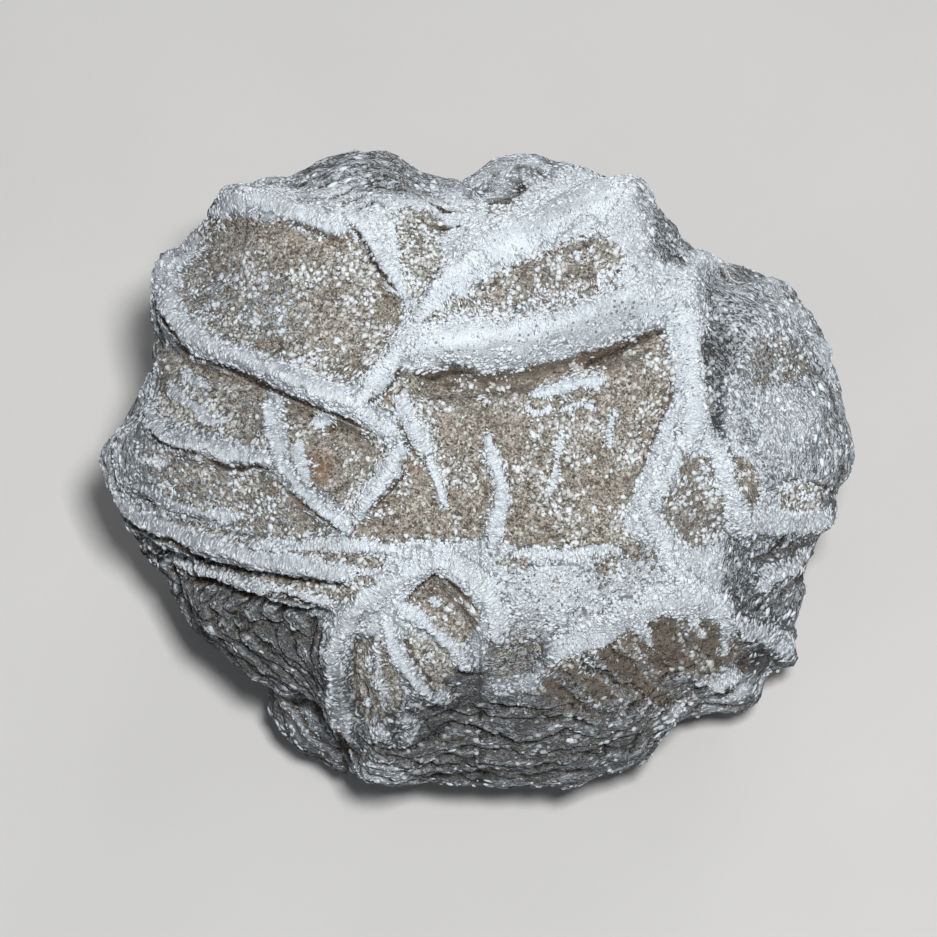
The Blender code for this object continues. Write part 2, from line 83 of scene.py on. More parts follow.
# ------------------------------------------------------------------ shader expressions
class Shade:
    """A number that varies over a surface: a node's output that can be used in expressions."""

    def __init__(self, bench: "Bench", socket: bpy.types.NodeSocket) -> None:
        """Wrap an output socket of a node on the bench."""
        self.bench = bench
        self.socket = socket

    def _math(self, operation: str, *terms: "Shade | float") -> "Shade":
        """Add one Math node.

        Args:
            operation: the Math node's operation.
            terms: its inputs, in order.

        Returns:
            The node's result.
        """
        made = self.bench.node("ShaderNodeMath", {"operation": operation},
                               dict(enumerate(terms)))
        return Shade(self.bench, made.outputs[0])

    def __add__(self, other: "Shade | float") -> "Shade":
        """Add."""
        return self._math("ADD", self, other)

    __radd__ = __add__

    def __sub__(self, other: "Shade | float") -> "Shade":
        """Subtract a number from this one."""
        return self._math("SUBTRACT", self, other)

    def __rsub__(self, other: float) -> "Shade":
        """Subtract this number from another."""
        return self._math("SUBTRACT", other, self)

    def __mul__(self, other: "Shade | float") -> "Shade":
        """Multiply."""
        return self._math("MULTIPLY", self, other)

    __rmul__ = __mul__

    def __truediv__(self, other: "Shade | float") -> "Shade":
        """Divide this number by another."""
        return self._math("DIVIDE", self, other)

    def __rtruediv__(self, other: float) -> "Shade":
        """Divide another number by this one."""
        return self._math("DIVIDE", other, self)

    def clipped(self) -> "Shade":
        """Hold the number between 0 and 1."""
        return self._math("MINIMUM", self._math("MAXIMUM", self, 0.0), 1.0)

    def step(self, low: float, high: float) -> "Shade":
        """Rise from 0 at low to 1 at high, in a straight line."""
        return ((self - low) / (high - low)).clipped()

    def size(self) -> "Shade":
        """Drop the number's sign."""
        return self._math("ABSOLUTE", self)


class Bench:
    """A material under construction, with the nodes that it is made of."""

    def __init__(self, name: str) -> None:
        """Start a material with an output and one Principled shader."""
        self.material = bpy.data.materials.new(name)
        self.material.use_nodes = True
        self.tree = self.material.node_tree
        self.shader = self.tree.nodes["Principled BSDF"]
        face = ShowFace()
        place = self.node("ShaderNodeTexCoord", {}, {}).outputs["Object"]
        self.place = self.node("ShaderNodeMapping", {"vector_type": "TEXTURE"},
                               {"Vector": place, "Location": Vector(face.origin) * MM,
                                "Rotation": face.turn().to_euler(),
                                "Scale": (MM, MM, MM)}).outputs[0]

    def node(self, kind: str, settings: dict[str, Any], inputs: dict[Any, Any]
             ) -> bpy.types.Node:
        """Add a node.

        Args:
            kind: the node's type.
            settings: its properties, set before its sockets; "stops" are a ramp's.
            inputs: values or links of its sockets, by name or number.

        Returns:
            The node.
        """
        made = self.tree.nodes.new(kind)
        for name, value in settings.items():
            if name == "stops":
                ramp = made.color_ramp
                while len(ramp.elements) < len(value):
                    ramp.elements.new(0.5)
                for element, (position, colour) in zip(ramp.elements, value):
                    element.position = position
                    element.color = (*colour, 1.0)
            else:
                setattr(made, name, value)
        for name, value in inputs.items():
            if isinstance(value, Shade):
                value = value.socket
            if isinstance(value, bpy.types.NodeSocket):
                self.tree.links.new(value, made.inputs[name])
            else:
                made.inputs[name].default_value = value
        return made

    def attribute(self, name: str) -> Shade:
        """Read a number that the mesh carries at its points."""
        made = self.node("ShaderNodeAttribute", {"attribute_name": name}, {})
        return Shade(self, made.outputs["Fac"])

    def direction(self, name: str) -> bpy.types.NodeSocket:
        """Read a row of three numbers that the mesh carries at its points."""
        return self.node("ShaderNodeAttribute", {"attribute_name": name}, {}).outputs["Vector"]

    def pressed(self, place: bpy.types.NodeSocket, rates: tuple[float, float, float]
                ) -> bpy.types.NodeSocket:
        """Make a pattern's place run faster along some directions, which flattens it there."""
        return self.node("ShaderNodeVectorMath", {"operation": "MULTIPLY"},
                         {0: place, 1: rates}).outputs[0]

    def noise(self, size: float, detail: float = 2.0, roughness: float = 0.5,
              twist: float = 0.0, place: bpy.types.NodeSocket | None = None) -> Shade:
        """Make cloudy noise.

        Args:
            size: the size of its blots, in millimetres.
            detail: its number of finer layers.
            roughness: the share that each finer layer has.
            twist: how far its blots are pulled about.
            place: the place that it is read at, where it isn't the show face's.

        Returns:
            The noise, about 0 to 1 around 0.5.
        """
        made = self.node("ShaderNodeTexNoise", {},
                         {"Vector": place or self.place, "Scale": 1.0 / size,
                          "Detail": detail, "Roughness": roughness, "Distortion": twist})
        return Shade(self, made.outputs["Fac"])

    def cells(self, size: float) -> tuple[Shade, Shade]:
        """Make packed grains.

        Args:
            size: the size of a grain, in millimetres.

        Returns:
            The distance from each grain's middle, and a number of its own for each grain.
        """
        made = self.node("ShaderNodeTexVoronoi", {}, {"Vector": self.place,
                                                      "Scale": 1.0 / size})
        split = self.node("ShaderNodeSeparateColor", {}, {0: made.outputs["Color"]})
        return Shade(self, made.outputs["Distance"]), Shade(self, split.outputs[0])

    def ramp(self, value: Shade, stops: tuple[tuple[float, Colour], ...]
             ) -> bpy.types.NodeSocket:
        """Turn a number into a colour by its stops."""
        return self.node("ShaderNodeValToRGB", {"stops": stops}, {0: value}).outputs[0]

    def mix(self, share: Shade, first: Any, second: Any) -> bpy.types.NodeSocket:
        """Mix two colours.

        Args:
            share: 0 for the first colour and 1 for the second.
            first: a colour or its socket.
            second: a colour or its socket.

        Returns:
            The mixed colour.
        """
        colours = [(*c, 1.0) if isinstance(c, tuple) else c for c in (first, second)]
        made = self.node("ShaderNodeMix", {"data_type": "RGBA"},
                         {0: share, 6: colours[0], 7: colours[1]})
        return made.outputs[2]

    def dress(self, colour: bpy.types.NodeSocket, roughness: Shade, height: Shade,
              depth: float, strength: float) -> bpy.types.Material:
        """Finish the material.

        Args:
            colour: its base colour.
            roughness: its roughness.
            height: the height of its small relief, 0 to 1.
            depth: how deep that relief is, in millimetres.
            strength: how strongly the relief shows.

        Returns:
            The material.
        """
        bump = self.node("ShaderNodeBump", {}, {"Height": height, "Distance": depth * MM,
                                                "Strength": strength})
        self.tree.links.new(colour, self.shader.inputs["Base Color"])
        self.tree.links.new(roughness.socket, self.shader.inputs["Roughness"])
        self.tree.links.new(bump.outputs[0], self.shader.inputs["Normal"])
        return self.material


# ------------------------------------------------------------------ finishes
@dataclass(frozen=True)
class StoneFinish:
    """The stone's skin: white gypsum crust over brown sand, dark seams, rust and painted shade.
    """

    crust_bright: Colour = (0.78, 0.845, 0.90)
    crust_grey: Colour = (0.33, 0.36, 0.385)
    stroke: Colour = (0.170, 0.185, 0.200)
    crack: Colour = (0.030, 0.030, 0.031)
    pit: Colour = (0.09, 0.08, 0.075)
    dust: Colour = (0.105, 0.111, 0.117)
    pale_grain: Colour = (0.62, 0.615, 0.590)
    dark_grain: Colour = (0.050, 0.040, 0.032)
    rust: Colour = (0.200, 0.092, 0.038)
    sand: tuple[tuple[float, Colour], ...] = (
        (0.00, (0.038, 0.032, 0.025)), (0.24, (0.128, 0.110, 0.088)),
        (0.48, (0.230, 0.205, 0.168)), (0.72, (0.360, 0.330, 0.282)),
        (1.00, (0.580, 0.562, 0.530)),
    )
    grey_sand: tuple[tuple[float, Colour], ...] = (
        (0.00, (0.030, 0.030, 0.030)), (0.30, (0.135, 0.135, 0.130)),
        (0.65, (0.325, 0.328, 0.320)), (1.00, (0.580, 0.588, 0.580)),
    )
    # Colours of dirt and painted shade in hollows and cracks: brown where open, grey where
    # weathered.
    grime_and_shade: tuple[tuple[float, Colour], ...] = (
        (0.00, (0.240, 0.209, 0.171)), (0.45, (0.148, 0.119, 0.091)),
        (0.80, (0.040, 0.031, 0.026)), (1.00, (0.012, 0.011, 0.011)),
    )
    grey_dirt_and_shade: tuple[tuple[float, Colour], ...] = (
        (0.00, (0.240, 0.245, 0.245)), (0.45, (0.130, 0.132, 0.133)),
        (0.80, (0.042, 0.042, 0.042)), (1.00, (0.011, 0.011, 0.011)),
    )

    def crust(self, bench: Bench, weather: Shade, dust: Shade, smooth: Shade, speck: Shade,
              web: Shade) -> bpy.types.NodeSocket:
        """Colour the white crust.

        Args:
            bench: the material.
            weather: how grey and cracked the crust is, partly painted shade, 0 to 1.
            dust: how much settles on it, partly painted shade towards the bottom and left, 0 to
                1.
            smooth: how smooth and pitted it is, 0 to 1.
            speck: the finest noise.
            web: 0 on the fine cracks and 1 between them.

        Returns:
            The crust's colour.
        """
        broad = bench.noise(1.6, 3.0, 0.6)
        tone = (weather + 0.6 * (broad - 0.5) + 1.9 * (speck - 0.5)).clipped()
        colour = bench.mix(tone, self.crust_bright, self.crust_grey)
        # Dust and painted shade darken the crust and strew it with dark specks.
        settled_and_shaded = dust * (0.70 + 0.9 * (broad - 0.3) + 1.6 * (speck - 0.5))
        colour = bench.mix(settled_and_shaded.clipped(), colour, self.dust)
        grit_and_shade = 0.95 * dust * (1.0 - speck.step(0.38, 0.58))
        colour = bench.mix(grit_and_shade.clipped(), colour, self.crack)
        line = (1.0 - web) * (0.08 + 1.25 * weather)
        colour = bench.mix(line.clipped(), colour, self.crack)
        near, own = bench.cells(0.55)
        pit = (1.0 - near.step(0.13, 0.24)) * own.step(0.20, 0.24) * (0.25 + 0.70 * smooth)
        return bench.mix(pit, colour, self.pit)

    def bare(self, bench: Bench, grain: Shade, speck: Shade, greyness: Shade
             ) -> bpy.types.NodeSocket:
        """Colour the bare sand.

        Args:
            bench: the material.
            grain: the tone of each fine grain.
            speck: the finest noise.
            greyness: how far its brown has gone grey, 0 to 1.

        Returns:
            The sand's colour.
        """
        broad = bench.noise(2.6, 2.0)
        near, own = bench.cells(0.33)
        tone = 0.56 * grain + 0.24 * own + 0.45 * (broad - 0.5) + 1.6 * (speck - 0.5) + 0.11
        tone = tone.clipped()
        colour = bench.mix(greyness, bench.ramp(tone, self.sand),
                           bench.ramp(tone, self.grey_sand))
        inside = 1.0 - near.step(0.30, 0.44)
        colour = bench.mix(inside * own.step(0.82, 0.86) * 0.9, colour, self.pale_grain)
        return bench.mix(inside * (1.0 - own.step(0.10, 0.13)) * 0.8, colour, self.dark_grain)

    def material(self) -> bpy.types.Material:
        """Make the material."""
        bench = Bench("sandy_gypsum_skin")
        hollow = bench.attribute("hollow")
        weather = bench.attribute("weather")
        blots = bench.noise(0.42, 3.0, 0.62)
        speck = bench.noise(0.11, 2.0)
        dust = bench.attribute("dust")
        bedded = bench.pressed(bench.direction("brush"), (0.50, 1.0, 1.5))
        wide = (bench.noise(0.42, 1.5, 0.5, 1.1, bedded) - 0.5).size() * 2.0
        tight = (bench.noise(0.22, 1.0, 0.5, 0.8, bedded) - 0.5).size() * 2.0
        web = wide.step(0.02, 0.14) * tight.step(0.0, 0.11)
        brushed = bench.noise(0.17, 2.0, 0.55, 0.25,
                              bench.pressed(bench.direction("brush"), (0.22, 1.0, 1.0)))
        near, grain = bench.cells(0.15)
        smooth = bench.attribute("smooth")
        cover = (bench.attribute("crust") + 1.2 * (blots - 0.5) + 0.5 * (speck - 0.5)
                 + 1.2 * (brushed - 0.5)).step(0.43, 0.53)
        # Sand goes grey with dust and weathering, and with the painted shade that they carry.
        greyness = dust * (0.75 + 0.6 * (blots - 0.5)) * (1.0 - hollow) \
            + 0.55 * weather.step(0.30, 0.95)
        sand = self.bare(bench, grain, speck, greyness.clipped())
        sand = bench.mix((bench.attribute("rust") * blots.step(0.3, 0.6)).clipped(),
                         sand, self.rust)
        crust = self.crust(bench, weather * (1.45 - 0.9 * wide.step(0.05, 0.55)),
                           dust * (1.25 - 0.9 * wide.step(0.08, 0.60)), smooth, speck, web)
        # Dark gaps between the crust's strokes, darker still with dust and painted shade.
        gap = (1.0 - brushed.step(0.29, 0.50)) * (1.0 - 0.85 * smooth)
        crust = bench.mix((gap * (1.0 - weather) * 0.58).clipped(), crust, self.stroke)
        crust = bench.mix((gap * dust * 0.8).clipped(), crust, self.crack)
        colour = bench.mix(cover, sand, crust)
        # Dirt and painted shade darken hollows and cracks: brown where open, grey to black where
        # weathered.
        depth = (hollow * (0.70 + 1.0 * (blots - 0.3) + 2.6 * (speck - 0.5)
                           + 0.5 * (grain - 0.5))).clipped()
        stain_and_shade = bench.mix(0.8 * weather.step(0.22, 0.55), bench.ramp(depth, self.grime_and_shade),
                          bench.ramp(depth, self.grey_dirt_and_shade))
        colour = bench.mix(depth.step(0.08, 0.55), colour, stain_and_shade)
        roughness = 0.92 - 0.30 * grain * (1.0 - cover) - 0.10 * (cover * speck)
        height = (0.42 * cover + 0.90 * wide.step(0.0, 0.5) * weather * cover
                  + 0.55 * brushed * cover
                  + 0.22 * (1.0 - near) + 0.45 * speck)
        return bench.dress(colour, roughness, height, 0.16, 1.0)


@dataclass(frozen=True)
class GrainFinish:
    """Loose lumps on the stone, each with its own tone."""

    name: str
    tones: tuple[tuple[float, Colour], ...]
    dullness: float = 0.86

    def material(self) -> bpy.types.Material:
        """Make the material."""
        bench = Bench(self.name)
        tone = bench.attribute("tone")
        fine = bench.noise(0.11, 2.0)
        colour = bench.ramp((tone + 0.7 * (fine - 0.5)).clipped(), self.tones)
        roughness = self.dullness + 0.3 * (fine - 0.5)
        return bench.dress(colour, roughness, fine, 0.05, 0.8)


@dataclass(frozen=True)
class FloorFinish:
    """The pale matt floor."""

    pale: Colour = (0.60, 0.59, 0.58)
    shade: Colour = (0.56, 0.55, 0.54)

    def material(self) -> bpy.types.Material:
        """Make the material."""
        bench = Bench("pale_floor")
        cloud = bench.noise(14.0, 3.0)
        fine = bench.noise(0.5, 2.0)
        return bench.dress(bench.mix(cloud, self.shade, self.pale), 0.80 + 0.08 * fine, fine,
                           0.05, 0.25)


# ------------------------------------------------------------------ numbers over the stone
def rise(value: np.ndarray, low: float, high: float) -> np.ndarray:
    """Rise from 0 at low to 1 at high with soft ends."""
    t = np.clip((value - low) / (high - low), 0.0, 1.0)
    return t * t * (3.0 - 2.0 * t)


CELL_FACTORS = (73856093, 19349663, 83492791)  # one for each direction of the noise's cells
SEED_FACTOR = 1013904223
SEED_SHIFT = 0.37                              # how far a seed moves the cells
STIRS = ((15, 2246822519), (13, 3266489917))   # shifts and factors that mix a cell's number
WHOLE = 0x7FFFFFFF                             # what is kept of a number between stirs
TOP = 0xFFFFF                                  # the largest number that a cell may have


def lumpiness(points: np.ndarray, size: float, seed: int) -> np.ndarray:
    """Make smooth noise at points in space.

    Args:
        points: rows of coordinates, in any number of dimensions.
        size: the size of the lumps.
        seed: a whole number that chooses the noise.

    Returns:
        The noise at each point, from -1 to 1.
    """
    place = points / size + SEED_SHIFT * seed
    cell = np.floor(place).astype(np.int64)
    part = place - cell
    part = part * part * (3.0 - 2.0 * part)
    total = np.zeros(len(points))
    factors = np.array(CELL_FACTORS)[:points.shape[1]]
    for corner in itertools.product((0, 1), repeat=points.shape[1]):
        mixed = ((cell + corner) * factors).sum(axis=1) + seed * SEED_FACTOR
        for shift, factor in STIRS:
            mixed = (mixed ^ (mixed >> shift)) * factor & WHOLE
        value = (mixed & TOP) / (TOP >> 1) - 1.0
        weight = np.where(np.array(corner) == 1, part, 1.0 - part).prod(axis=1)
        total += weight * value
    return total


FAR = 1e9          # further than any point lies from a line, mm
TINY = 1e-9        # stands in for no height at all, mm
OTHER_BANK = 61.7  # gives the two sides of a rim different noise
SLOPE_STEP = 0.05  # step at which the direction across a rim is measured, mm
CURVE_STEPS = (0.0, 0.2, 0.4, 0.6, 0.8)  # places of a curve's points between two given ones


class Lean(Enum):
    """The side on which a rim falls steeply, as one looks along its line."""

    BOTH = 0
    RIGHT = 1
    LEFT = -1


@dataclass(frozen=True)
class Trace:
    """A smooth line through points of the show face."""

    points: tuple[Point, ...]

    def curve(self) -> np.ndarray:
        """Give close points on a smooth curve through the line's points."""
        line = [np.array(point, dtype=float) for point in self.points]
        ends = [2 * line[0] - line[1]] + line + [2 * line[-1] - line[-2]]
        made = []
        for a, b, c, d in zip(ends, ends[1:], ends[2:], ends[3:]):
            for t in CURVE_STEPS:
                made.append(0.5 * (2 * b + (c - a) * t + (2 * a - 5 * b + 4 * c - d) * t ** 2
                                   + (3 * b - a - 3 * c + d) * t ** 3))
        return np.array(made + [line[-1]])

    def near(self, plan: np.ndarray, reach: float) -> np.ndarray:
        """Give the numbers of the points that may lie within reach of the line."""
        line = np.array(self.points)
        inside = np.all((plan > line.min(axis=0) - reach) & (plan < line.max(axis=0) + reach),
                        axis=1)
        return np.flatnonzero(inside)

    def measure(self, plan: np.ndarray) -> tuple[np.ndarray, np.ndarray, np.ndarray]:
        """Measure points against the line.

        Args:
            plan: rows of (u, v).

        Returns:
            Distance to the right of the line, length along it, and the share of its length.
        """
        line = self.curve()
        lengths = np.hypot(*(line[1:] - line[:-1]).T)
        starts = np.concatenate(([0.0], np.cumsum(lengths)))
        nearest = np.full(len(plan), FAR)
        side = np.ones(len(plan))
        along = np.zeros(len(plan))
        for start, end, length, before in zip(line[:-1], line[1:], lengths, starts):
            way = (end - start) / length
            offset = plan - start
            step = np.clip(offset @ way, 0.0, length)
            gap = np.hypot(*(offset - step[:, None] * way).T)
            closer = gap < nearest
            nearest[closer] = gap[closer]
            along[closer] = before + step[closer]
            turn = offset[:, 0] * way[1] - offset[:, 1] * way[0]
            side[closer] = np.where(turn[closer] >= 0.0, 1.0, -1.0)
        return nearest * side, along, along / starts[-1]


@dataclass(frozen=True)
class Rim:
    """The worn edge of a blade, standing up from the show face under white crust."""

    name: str
    line: tuple[Point, ...]
    width: float
    height: float
    lean: Lean = Lean.RIGHT
    cover: float = 1.0
    smooth: float = 0.0

    def lift(self, plan: np.ndarray, seed: int) -> tuple[np.ndarray, ...]:
        """Work out the rim's shape over the points near it.

        Args:
            plan: rows of (u, v) for the whole skin.
            seed: a whole number that chooses how the rim's edge wanders.

        Returns:
            The numbers of the points near the rim; the height of the rim there; its crust
            there; the direction across it there, as rows of (u, v); and the distances across
            and along it, as rows.
        """
        trace = Trace(self.line)
        near = trace.near(plan, 1.6 * self.width + 0.6)
        across, along, share = trace.measure(plan[near])
        bank = along[:, None] + np.where(across > 0.0, 0.0, OTHER_BANK)[:, None]
        edge = 1.0 + 0.32 * lumpiness(bank, 1.6, seed) + 0.30 * lumpiness(bank, 0.6, seed + 1) \
            + 0.34 * lumpiness(plan[near], 0.9, seed + 2)
        edge = np.maximum(edge, 0.3)
        half = 0.5 * self.width * edge * (0.55 + 0.45 * rise(np.minimum(share, 1 - share),
                                                             -0.02, 0.16))
        ends = rise(np.minimum(share, 1.0 - share), -0.03, 0.03)
        fall = across / half
        steep = 1.0 - rise(np.abs(fall), 0.62, 1.08)
        soft = 1.0 - rise(np.abs(fall), 0.25, 1.75)
        profile = steep
        if self.lean is not Lean.BOTH:
            profile = np.where(fall * self.lean.value > 0.0, steep, np.minimum(1.0, soft * 1.05))
        ahead = trace.measure(plan[near] + (SLOPE_STEP, 0.0))[0] - across
        beside = trace.measure(plan[near] + (0.0, SLOPE_STEP))[0] - across
        flow = np.column_stack((ahead, beside)) / SLOPE_STEP
        loose = 2.0 if self.lean is Lean.BOTH else np.where(fall * self.lean.value > 0.0,
                                                            1.25, 2.8)
        core = 1.0 - rise(np.abs(fall), 0.60, 1.22)
        scatter = 1.0 - rise(np.abs(fall), 0.8, loose)
        cover = np.maximum(core, 0.46 * scatter) * ends * self.cover
        return near, profile * ends * self.height, cover, flow, np.column_stack((across, along))


@dataclass(frozen=True)
class Crevice:
    """A cleft between two blades, darkened by dirt and painted shade."""

    name: str
    line: tuple[Point, ...]
    width: float
    depth: float
    grime_and_shade: float = 1.0

    def sink(self, plan: np.ndarray, seed: int) -> tuple[np.ndarray, np.ndarray, np.ndarray]:
        """Work out the cleft's shape over the points near it.

        Args:
            plan: rows of (u, v) for the whole skin.
            seed: a whole number that chooses how the cleft's edge wanders.

        Returns:
            The numbers of the points near the cleft, its depth, and its dirt and painted shade
            there.
        """
        trace = Trace(self.line)
        near = trace.near(plan, self.width + 0.4)
        across, along, share = trace.measure(plan[near])
        half = 0.5 * self.width * (1.0 + 0.40 * lumpiness(along[:, None], 1.7, seed)
                                   + 0.35 * lumpiness(along[:, None], 0.6, seed + 1))
        half *= 0.4 + 0.6 * rise(np.minimum(share, 1.0 - share), 0.0, 0.2)
        ends = rise(np.minimum(share, 1.0 - share), -0.02, 0.05)
        cut = (1.0 - rise(np.abs(across) / half, 0.2, 1.15)) * ends
        return near, cut * self.depth, cut * self.grime_and_shade


@dataclass(frozen=True)
class Patch:
    """A stretch of the show face with its own share of white crust."""

    name: str
    outline: tuple[Point, ...]
    crust: float
    hollow: float = 0.0
    sink: float = 0.0
    soft: float = 1.0
    grey: float = 0.15
    layers: float = 0.0
    dust_and_shade_amount: float = 0.0

    def share(self, plan: np.ndarray) -> tuple[np.ndarray, np.ndarray]:
        """Work out how far each point near the patch belongs to it.

        Args:
            plan: rows of (u, v) for the whole skin.

        Returns:
            The numbers of the points near the patch, and 0 outside it to 1 inside it.
        """
        closed = Trace(self.outline + self.outline[:1])
        near = closed.near(plan, self.soft)
        spots = plan[near]
        line = np.array(self.outline + self.outline[:1])
        nearest = np.full(len(spots), FAR)
        inside = np.zeros(len(spots), dtype=bool)
        for start, end in zip(line[:-1], line[1:]):
            way = end - start
            offset = spots - start
            step = np.clip(offset @ way / (way @ way), 0.0, 1.0)
            nearest = np.minimum(nearest, np.hypot(*(offset - step[:, None] * way).T))
            crosses = (start[1] > spots[:, 1]) != (end[1] > spots[:, 1])
            rate = (spots[:, 1] - start[1]) / (way[1] if abs(way[1]) > TINY else TINY)
            inside ^= crosses & (spots[:, 0] < start[0] + rate * way[0])
        depth = np.where(inside, nearest, -nearest)
        return near, rise(depth, -0.5 * self.soft, 0.5 * self.soft)


# Places where the worn outline swells or draws in: centre (u, v), reach, how far outwards.
SWELLINGS = (
    ((-22.2, 13.0), 3.0, -0.75), ((-20.6, 15.4), 2.2, -0.5), ((-22.2, 8.2), 2.0, 0.25),
    ((-6.6, 21.8), 3.4, 0.36), ((-10.0, 20.8), 3.2, 0.5), ((-14.6, 18.8), 3.4, 0.6),
    ((2.6, 21.6), 3.6, 0.75), ((6.4, 21.2), 3.0, 0.65), ((10.0, 19.6), 2.0, 0.3),
    ((15.2, 15.4), 2.4, 0.25), ((20.6, 13.2), 3.4, 0.3), ((23.4, 10.2), 3.4, 0.45),
    ((24.4, 6.4), 3.4, 0.3), ((25.2, 1.4), 3.0, 0.45), ((24.2, -3.6), 2.4, 0.4),
    ((22.0, -8.0), 2.4, 0.65), ((21.4, -12.2), 2.2, 0.6), ((20.6, -9.9), 1.8, 1.15),
    ((17.8, -15.2), 3.0, 0.75), ((11.0, -18.8), 3.4, 0.9), ((6.0, -20.6), 2.6, 0.3),
    ((-13.8, -16.4), 2.2, 0.8), ((-12.4, -18.2), 2.6, 1.25), ((-9.6, -20.0), 2.0, 0.8),
    ((-15.0, -12.8), 2.2, 0.45), ((-18.8, -10.2), 3.0, 0.5), ((-23.0, -5.8), 2.4, 0.5),
    ((-24.4, -2.4), 2.0, -0.2),
)

